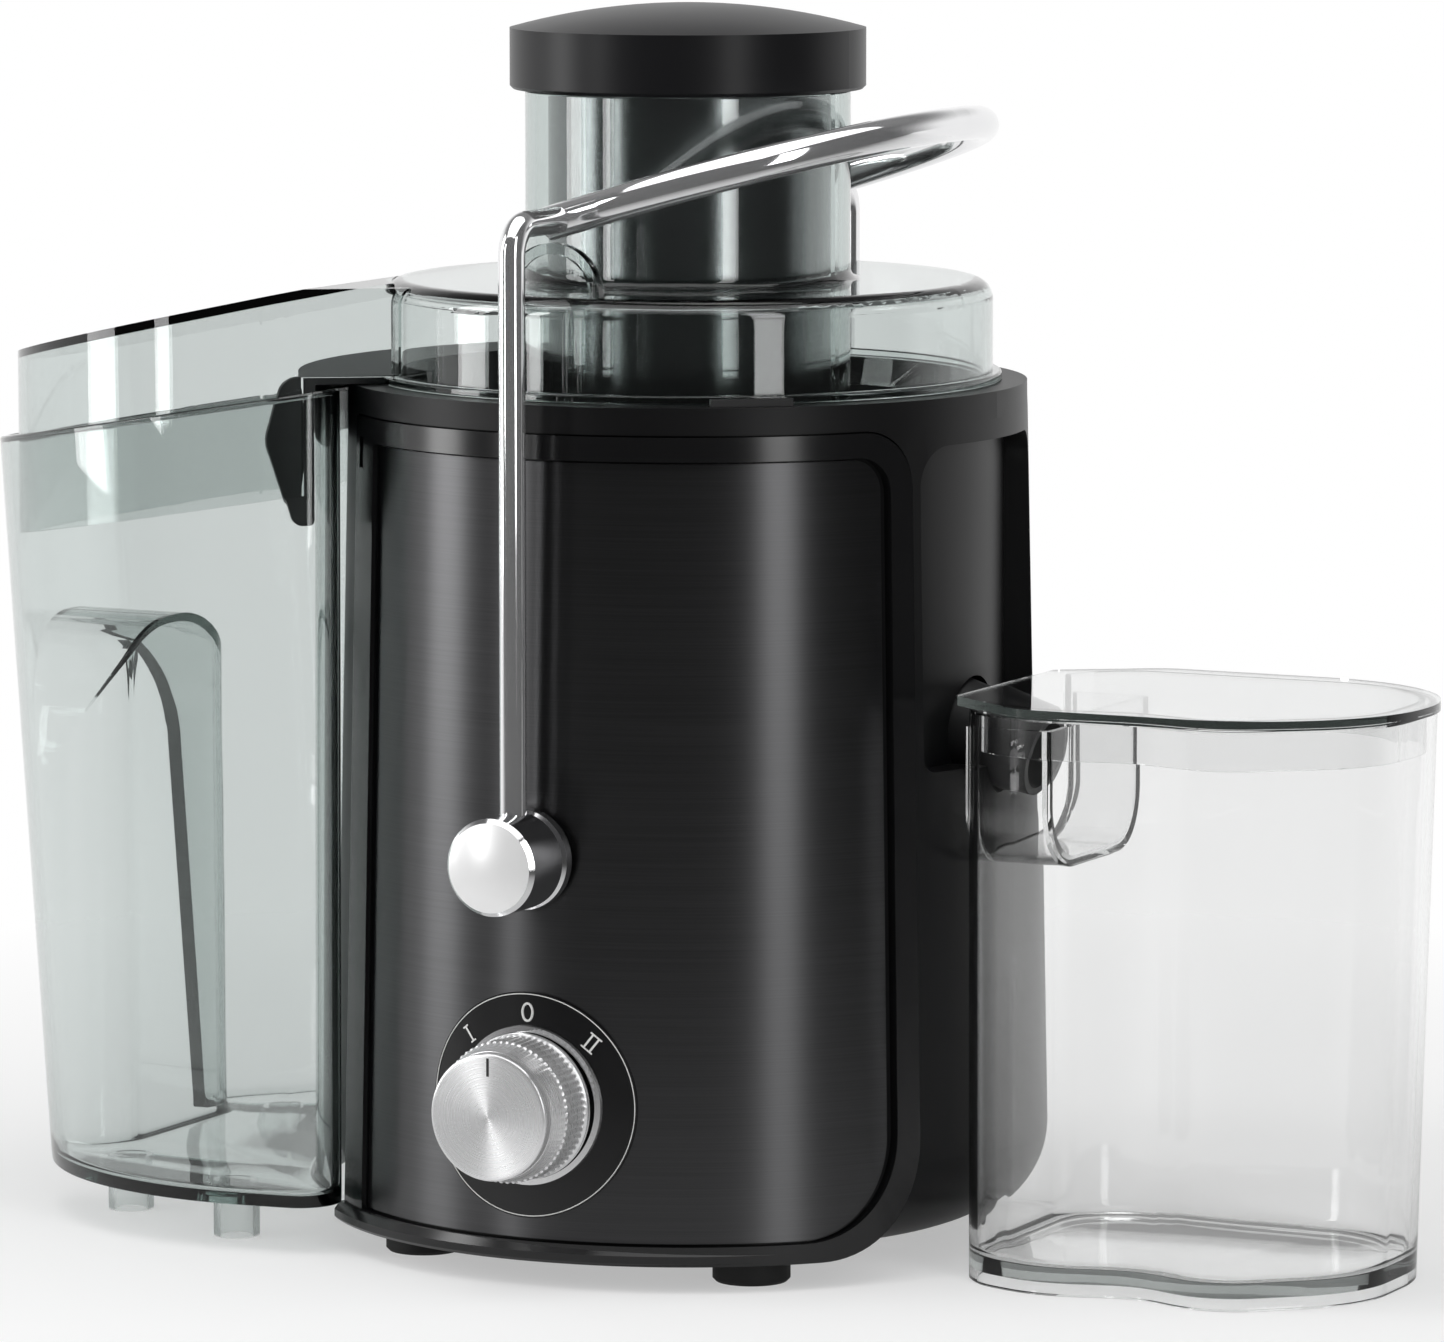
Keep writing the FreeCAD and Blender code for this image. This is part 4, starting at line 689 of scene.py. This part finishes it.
def channel_face(grow, straight_end, bevel):
    """One face of the channel: straight from the jug's blunt end, a bevel, and its end closed by drawing
    the U to a point."""
    straight = [channel_row(jug_left + 0.6, grow), channel_row(straight_end, grow)]
    end = [channel_row(straight_end + bevel, grow - bevel, shrink) for shrink in (1.0, 0.5, 0.0)]
    return np.array(straight + end)


channel = slab(channel_face(channel_wall, channel_end + 1.0, 0.6), channel_face(0.0, channel_end - 1.0, 1.0))
piece("jug_wall", *join(shell(jug_rows), channel), water_clear, "jug", "clear_plastic", swap=["juice_jug"])

# %% [markdown]
# ## Pulp container
# The container hugs the housing with a hollow side, widens to a round outer end that leans out towards the
# top, and has a grip pressed into that end under a round arch. Its rim falls away outwards. It is made like
# the jug; in the grip the rows step in to the grip's back, so the arch is a real ledge.

# %% Container sizes and outline
tub_low, tub_high = 12.0, collar_z - 0.3
tub_wall, tub_floor = 2.2, 14.4
hug_r = float(skin(foot_z)) + 1.5               # of the hollow side round the housing
tub_half = hug_r + 2.0
tub_end = hug_r + 81.0
lean = 14.5                                     # how far the outer end moves out from foot to rim
end_r, side_r = tub_half - 12.0, 10.0           # of its corners in plan
grip_half, grip_deep, grip_high, grip_round = 34.0, 22.0, 145.0, 14.0
hug_turn = math.radians(39.0)                   # half the angle over which it hugs the housing
ear_long = 27.0                                 # from there straight on to the widest corner
ear_x = ear_long * math.sin(hug_turn) - hug_r * math.cos(hug_turn)
ear_y = ear_long * math.cos(hug_turn) + hug_r * math.sin(hug_turn)
# How far the sides spread for each mm outwards.
spread = (tub_half - ear_y) / (tub_end + ear_x)


def tub_plan(shift):
    """The container's outline as corners (x, y, radius), where its outer end has moved out by shift:
    hollow at the machine, wide and round at the outer end."""
    y = ear_y - shift * spread
    end = -tub_end - shift
    return [(-hug_r / math.cos(hug_turn), 0, hug_r), (ear_x, y, side_r), (end, tub_half, end_r),
            (end, -tub_half, end_r), (ear_x, -y, side_r)]


def at_outer_end(x):
    """Whether a point at x mm from the motor axis is in the outer fifth of the container's reach."""
    return x < -tub_end * 0.8


print("container reaches", round(tub_end + lean, 1), "mm from the motor axis")

# %% Container columns
# More columns stand where the grip's sides and its arch bend fastest, and a close pair at each grip edge.
curve = np.sin(np.linspace(0.15, 1.5, 10))
levels = np.concatenate((grip_half - grip_round + grip_round * curve, 2 + (grip_half - 2) * curve))
outer_edges, inner_edges = (crossings(drawn_in(tub_plan(0), inset), grip_half + inset, at_outer_end)
                            for inset in (0, tub_wall))
tub_t = spots(len(tub_plan(0)), 44, 12, np.concatenate((outer_edges, inner_edges)),
              np.concatenate([crossings(tub_plan(0), level, at_outer_end) for level in levels]))


def in_grip(inset):
    """Which columns lie in the grip, on the wall's outer or inner face."""
    edges = inner_edges if inset > tub_wall / 2 else outer_edges
    return (tub_t > edges.min()) & (tub_t < edges.max())


print("container:", len(tub_t), "columns,", in_grip(0).sum(), "of them in the grip")

# %% Container rows
rim_slope = math.tan(math.radians(9.4))
rim_start = hug_r - 25                          # mm left of the axis, where the rim's fall begins


def tub_sides(inset):
    """The outline at the container's foot, and how far it moves for each mm of height."""
    foot, rim = (outline(drawn_in(tub_plan(shift), inset), tub_t) for shift in (0, lean))
    return foot, (rim - foot) / (tub_high - tub_low)


def rim_height(inset):
    """Heights of the sloping rim z = high + (x + start) slope, where x itself moves with z."""
    foot, drift = tub_sides(inset)
    level_x = foot[:, 0] - drift[:, 0] * tub_low
    return (tub_high + (level_x + rim_start) * rim_slope) / (1 - drift[:, 0] * rim_slope)


def arch(inset):
    """Heights of the grip's round top over each column; level with its spring line outside the grip."""
    half = grip_half + inset
    r = half * 0.95
    across = np.clip(np.abs(tub_sides(inset)[0][:, 1]) - (half - r), 0, r)
    return grip_high + inset - r + np.sqrt(r * r - across ** 2) * in_grip(inset)


def tub_row(inset, z, gripped):
    """Points round the container at heights z, drawn in by inset; in the grip they step in to its back."""
    z = np.broadcast_to(z, tub_t.shape)
    foot, drift = tub_sides(inset)
    x, y = (foot + drift * (z - tub_low)[:, None]).T
    if gripped:
        r = grip_round + inset
        past = np.clip(np.abs(y) - (grip_half + inset - r), 0, r)
        back = grip_deep + inset - tub_end - r + np.sqrt(r * r - past ** 2)
        x = np.where(in_grip(inset), np.maximum(x, back), x)
    return np.column_stack((x + cx, y, z))


up = np.linspace(0, 1, 34)
foot_round = 0.6
rim, rim_in = rim_height(0), rim_height(tub_wall)
over, over_in = arch(0), arch(tub_wall)
grip_foot = tub_low + foot_round
rim_edge = rim_in - lip
tub_rows = [tub_row(foot_round, tub_low, True), tub_row(foot_round / 4, tub_low + foot_round / 4, True)]
tub_rows += [tub_row(0, grip_foot + (over - grip_foot) * v, True) for v in up]
tub_rows += [tub_row(0, over + (rim - lip - over) * v, False) for v in up]
tub_rows += [tub_row(lip, rim, False), tub_row(tub_wall - lip, rim_in, False)]
tub_rows += [tub_row(tub_wall, rim_edge - (rim_edge - over_in) * v, False) for v in up]
tub_rows += [tub_row(tub_wall, over_in - (over_in - tub_floor - floor_round) * v, True) for v in up]
tub_rows += [tub_row(inset, z, True) for inset, z in inner_corner(tub_wall, tub_floor, 6)]
print("container wall:", len(tub_rows), "rows of", len(tub_t), "points")

# %% [markdown]
# The container stands on four short hollow feet and tilts on a bead at the housing. Its rim is looked at
# along its length and is its darkest line, so a round edge of near-black, dense plastic paints that shade.

# %% Container feet, bead and the rim's painted shade
foot_r, foot_bore, foot_top = 5.75, 4.15, tub_low + 0.3
foot_profile = [(foot_bore, 0), (foot_r, 0), (foot_r, foot_top), (foot_bore, foot_top), (foot_bore, 0)]
foot_places = [(cx - (hug_r + outwards), side * (tub_half - inwards), 0)
               for outwards, inwards in ((48, 52), (6, 32)) for side in (-1, 1)]
feet = [lathe(foot_profile, foot_place, (0, 0, 1), (1, 0, 0), 48)[:2] for foot_place in foot_places]
bead_r, bead_long, bead_in, bead_drop = 1.6, 20, 1.2, 8.1
bead = lathe([(0, 0), (bead_r, 0), (bead_r, bead_long), (0, bead_long)],
             (cx + bead_in - hug_r, -bead_long / 2, tub_high - bead_drop), (0, 1, 0), (0, 0, 1), 32)[:2]
# Painted shade: a round line of the near-black plastic, just inside the rim, paints the rim's dark outline.
edge_r, edge_in = 0.7, 0.75
rim_shade_line = tub_row(edge_in, rim - edge_in, False)
apart = np.linalg.norm(rim_shade_line - np.roll(rim_shade_line, 1, 0), axis=1)
rim_shade_line = rim_shade_line[apart > 0.05]             # without the close pairs at the grip's edges
piece("container_rim_painted_shade", *hoop(rim_shade_line, edge_r, 12), rim_painted_shade_clear, "container", "clear_plastic")
piece("container_wall", *join(shell(tub_rows), *feet, bead), smoke_clear, "container", "clear_plastic",
      swap=["pulp_container"])

# %% [markdown]
# ## Grained metals
# Brushing and turning leave fine parallel scratches. A reflection stays sharp along them and smears across
# them, which is an anisotropic highlight with its tangent along the grid's first parameter. Noise stretched
# the same way draws the scratches that are coarse enough to see.

# %% Grained metal
def grained_metal(name, colour, metallic, patches, detail, rough, shade, smear, contrast=(0.0, 1.0), dents=0):
    """A metal whose scratches run along the first UV parameter, with this many noise patches along and
    across. The noise, from contrast[0] to contrast[1], moves the shade, and its whole range the
    roughness, between their two ends; dents is its depth in mm."""
    made, tree, out = blank(name)
    marks = add(tree, "ShaderNodeUVMap", uv_map="surface")
    stretch = add(tree, "ShaderNodeMapping", {"Vector": marks.outputs[0], "Scale": (*patches, 1)})
    grain = add(tree, "ShaderNodeTexNoise", {"Vector": stretch.outputs[0], "Scale": 1.0, "Detail": detail})
    dull = add(tree, "ShaderNodeMapRange",
               {"Value": grain.outputs["Fac"], "To Min": rough[0], "To Max": rough[1]})
    light = add(tree, "ShaderNodeMapRange",
                {"Value": grain.outputs["Fac"], "From Min": contrast[0], "From Max": contrast[1],
                 "To Min": shade[0], "To Max": shade[1]})
    tint = add(tree, "ShaderNodeVectorMath", {0: linear(colour)[:3], "Scale": light.outputs[0]},
               operation="SCALE")
    along = add(tree, "ShaderNodeTangent", direction_type="UV_MAP", uv_map="surface")
    metal = add(tree, "ShaderNodeBsdfPrincipled",
                {"Base Color": tint.outputs[0], "Metallic": metallic, "Roughness": dull.outputs[0],
                 "Anisotropic": smear, "Anisotropic Rotation": 0.25, "Tangent": along.outputs[0]})
    if dents:
        relief = add(tree, "ShaderNodeBump",
                     {"Height": grain.outputs["Fac"], "Strength": 0.1, "Distance": dents * MM})
        tree.links.new(relief.outputs[0], metal.inputs["Normal"])
    tree.links.new(metal.outputs[0], out.inputs["Surface"])
    print(name, "with patches", patches)
    return made


# %% [markdown]
# ## Front panel
# The real panel is black-tinted stainless steel, brushed level and let into a recess of the housing. A
# grid between two angles of the cone gives it its thickness, and a first parameter that runs round.

# %% Brushed black steel
panel_round, panel_tall = 150, 190              # mm, about the size of the panel
streak_long, streak_apart = 60, 0.4             # mm
brushed = grained_metal("steel_black_brushed_level", "#505051", 1.0,
                        (panel_round / streak_long, panel_tall / streak_apart), 3.0,
                        (0.28, 0.36), (0.92, 1.08), 0.8, contrast=(0.3, 0.7), dents=0.01)

# %% Panel sheet
panel_low, panel_high = (corner[2] for corner in box_mm("front_panel"))
panel_left, panel_right = math.radians(232.0), math.radians(330.1)
low_r, high_r = 24.0, 8.0                       # mm, corner radii at the right side's foot and top
sheet_face, sheet_back = -1.0, -2.3             # mm out from the skin: the sheet lies in a recess


def corner_step(z):
    """How far in, in mm, the panel's right side lies at height z beside its round corners:
    r - sqrt(r^2 - d^2), where d is how far z is past the start of the corner."""
    below = np.clip(panel_low + low_r - z, 0, low_r)
    above = np.clip(z - panel_high + high_r, 0, high_r)
    return (low_r - np.sqrt(low_r ** 2 - below ** 2)) + (high_r - np.sqrt(high_r ** 2 - above ** 2))


def panel_face(proud, rows=90, columns=120):
    """Grid on the cone between two angles, proud mm out from its skin, its right side drawn in at the
    corners, and its UV. Rows crowd towards the ends, z = low + tall (1 - cos v) / 2."""
    v = 0.5 - 0.5 * np.cos(np.linspace(0, np.pi, rows))
    z = panel_low + (panel_high - panel_low) * v
    edge = panel_right - corner_step(z) / skin(z)
    angle = panel_left + (edge[:, None] - panel_left) * np.linspace(0, 1, columns)
    r = (skin(z) + proud)[:, None]
    grid = np.stack((cx + r * np.cos(angle), r * np.sin(angle), np.repeat(z[:, None], columns, 1)), -1)
    round_share = (angle - panel_left) / (panel_right - panel_left)
    return grid, np.stack((round_share, np.repeat(v[:, None], columns, 1)), -1).reshape(-1, 2)


(outer, panel_uv), (inner, _) = panel_face(sheet_face), panel_face(sheet_back)
piece("panel_sheet", *slab(outer, inner), brushed, "base", "dark_steel",
      uv=np.concatenate((panel_uv, panel_uv)), swap=["front_panel"])

# %% [markdown]
# ## Speed knob
# The knob is turned aluminium: a knurled skirt, a short cone and a flat cap whose lathe marks run in
# circles. Circular marks make the two bright fans across the cap, so its tangent follows the circles.

# %% Turned aluminium
arcs_round, marks_out = 3.0, 180.0              # noise patches round the turn, and along the profile
turned = grained_metal("aluminium_turned_bright", "#f0f0f1", 0.8, (arcs_round, marks_out), 2.0,
                       (0.24, 0.32), (0.94, 1.04), 0.85)

# %% Knob skirt
knob_z = middle("knob_cap").z / MM
knob_back = -box_mm("knob_body")[1][1]
knob_front = -box_mm("knob_cap")[0][1] - 0.1    # leaves room inside the box for the pointer's print
knob_long = knob_front - knob_back
knob_place = (cx, -knob_back, knob_z)
skirt_r, cap_r, cap_thick = 17.3, 15.5, 3.0
face_long = knob_long - cap_thick
knurls, knurl_deep = 64, 0.5
forward, upward = (0, -1, 0), (0, 0, 1)


def knurl(a, r, h):
    """Skirt radius less knurl_deep times a rounded saw tooth round the turn, only between its two ends."""
    cut = np.abs(np.sin(knurls * a / 2)) ** 0.7
    inside = (h > 1.8) & (h < face_long - 5.2) & (r > skirt_r - 0.3)
    return r - knurl_deep * (1 - cut) * inside


flange = [(0, 0), (skirt_r + 0.5, 0), (skirt_r + 0.5, 1.3), (skirt_r + 0.1, 1.7)]
grip = [(skirt_r, 2.0), (skirt_r, 3.0), (skirt_r, 8.0), (skirt_r, face_long - 5.4)]
cone = [(skirt_r - 0.5, face_long - 5.0), (cap_r + 0.1, face_long - 0.1), (cap_r - 0.3, face_long),
        (0, face_long)]
points, faces, uv = lathe(flange + grip + cone, knob_place, forward, upward, knurls * 8, knurl)
piece("knob_skirt", points, faces, turned, "knob", "aluminium", uv, ["knob_body"])

# %% Knob face
cap_edge = 0.7                                  # mm, radius round the cap's front
cap_start = face_long + 0.02
bend = np.linspace(0, np.pi / 2, 8)
cap_profile = np.concatenate((
    [(0, cap_start), (cap_r, cap_start), (cap_r, face_long + 1.0)],
    np.stack((cap_r - cap_edge * (1 - np.cos(bend)), knob_long - cap_edge * (1 - np.sin(bend))), -1),
    np.stack((np.linspace(cap_r - cap_edge - 0.6, 0, 12), np.full(12, knob_long)), -1)))
points, faces, uv = lathe(cap_profile, knob_place, forward, upward, 192)
piece("knob_face", points, faces, turned, "knob", "aluminium", uv, ["knob_cap"])

# %% [markdown]
# ## Pivot cap's face
# The chrome cap on the arm's pivot ends in a flat, turned face. A thin pale, part-metal disc with a bevelled
# rim lies on it as a painted highlight, evenly pale where the chrome round it mirrors the room.

# %% Pivot face
cap_low, cap_high = box_mm("front_pivot_cap")
face_r, face_thick = (cap_high[2] - cap_low[2]) / 2 - 1.4, 0.16     # the chrome shows round it
# Painted highlight: a pale, part-metal finish stands for the bright reflection on the cap's flat face.
pivot_painted_highlight = finish("pivot_face_painted_highlight", "#f6f6f6", 0.3, metallic=0.35, grain=0.5, bump=0.004)
disc = [(0, 0), (face_r, 0), (face_r, 0.1), (face_r - 0.1, face_thick), (0, face_thick)]
face_place = ((cap_low[0] + cap_high[0]) / 2, cap_low[1] + 0.02, (cap_low[2] + cap_high[2]) / 2)
points, faces, _ = lathe(disc, face_place, forward, upward, 96)
piece("pivot_face", points, faces, pivot_painted_highlight, "arm", "chrome")

# %% [markdown]
# ## Dial
# The dial's print is a thin pale ring at its edge and the plain positions I, 0 and II, all thin closed
# strokes laid on the housing's cone, so that they stay crisp from any distance.

# %% Strokes on the dial
print_white = finish("screen_print_pale", "#d8d8d6", 0.5, grain=0.4, bump=0.002)
dial_front = -0.3                               # mm out from the skin: just proud of the plate's face
stroke_thick = 0.06
bar_wide, bar_tall = 0.5, 4.0


def stroke(corners):
    """Points and faces of a closed flat stroke on the dial, from its outline [(x, z)]."""
    x, z = np.asarray(corners, float).T
    points = np.concatenate([on_front(x, z, lift) for lift in (dial_front, dial_front + stroke_thick)])
    n = len(x)
    number = np.arange(n)
    ahead = (number + 1) % n
    walls = np.stack((number, ahead, ahead + n, number + n), -1).tolist()
    return points, [number[::-1].tolist(), (number + n).tolist()] + walls


def bar(x, z, lean):
    """Outlines of a bar and its two serifs, turned by lean degrees about their middle at x, z."""
    serif_wide, serif_tall = bar_wide * 3.4, bar_wide * 0.8
    turn = math.radians(lean)
    outlines = []
    for wide, tall, up in ((bar_wide, bar_tall, 0.0), (serif_wide, serif_tall, bar_tall / 2),
                           (serif_wide, serif_tall, -bar_tall / 2)):
        box = np.array([(-wide, -tall), (wide, -tall), (wide, tall), (-wide, tall)]) / 2 + (0, up)
        outlines.append(np.stack((x + box[:, 0] * math.cos(turn) - box[:, 1] * math.sin(turn),
                                  z + box[:, 0] * math.sin(turn) + box[:, 1] * math.cos(turn)), -1))
    return outlines


def at_dial(angle, radius):
    """x and z in mm of a place on the dial, angle in degrees clockwise from the top."""
    a = math.radians(angle)
    return radius * math.sin(a), knob_z + radius * math.cos(a)


print("print at", dial_front, "mm from the skin, marks", bar_tall, "mm tall")

# %% Dial marks
mark_angle, mark_lean, mark_r = 46, 38, 23.0    # degrees, degrees and mm
bar_apart = 0.9                                 # of each bar of II from the middle of its mark
lean_turn = math.radians(mark_lean)
marks = []
for side, shift in ((-1, 0), (1, -bar_apart), (1, bar_apart)):
    x, z = at_dial(side * mark_angle, mark_r)
    marks += bar(x + shift * math.cos(lean_turn), z - shift * math.sin(lean_turn), -side * mark_lean)

turn = np.linspace(0, 2 * np.pi, 48, endpoint=False)
nought_wide, nought_tall, nought_bold = 1.35, 2.1, 0.3
x0, z0 = at_dial(0, 22.6)
nought = on_front(x0 + nought_wide * np.cos(turn), z0 + nought_tall * np.sin(turn), dial_front)
turn = np.linspace(0, 2 * np.pi, 160, endpoint=False)
ring_r, ring_bold = np.ptp(box_mm("dial_plate"), axis=0)[0] / 2 - 0.5, 0.13
ring = on_front(ring_r * np.cos(turn), knob_z + ring_r * np.sin(turn), dial_front - 0.05)
points, faces = join(*map(stroke, marks), hoop(nought, nought_bold, 8), hoop(ring, ring_bold, 8))
piece("dial_print", points, faces, print_white, "base", "chrome")

# %% [markdown]
# The knob's pointer is a dark line let into its cap, from near its middle to the rim.

# %% Knob pointer
pointer_half, pointer_proud, pointer_deep = 0.35, 0.04, 0.3
across, up = np.meshgrid((-pointer_half, pointer_half), (10.0, 14.4))
pointer = np.stack((cx + across, 0 * across - knob_front - pointer_proud, knob_z + up), -1)
piece("knob_pointer", *slab(pointer, pointer + (0, pointer_deep, 0)), dark_abs, "knob", "black_plastic")
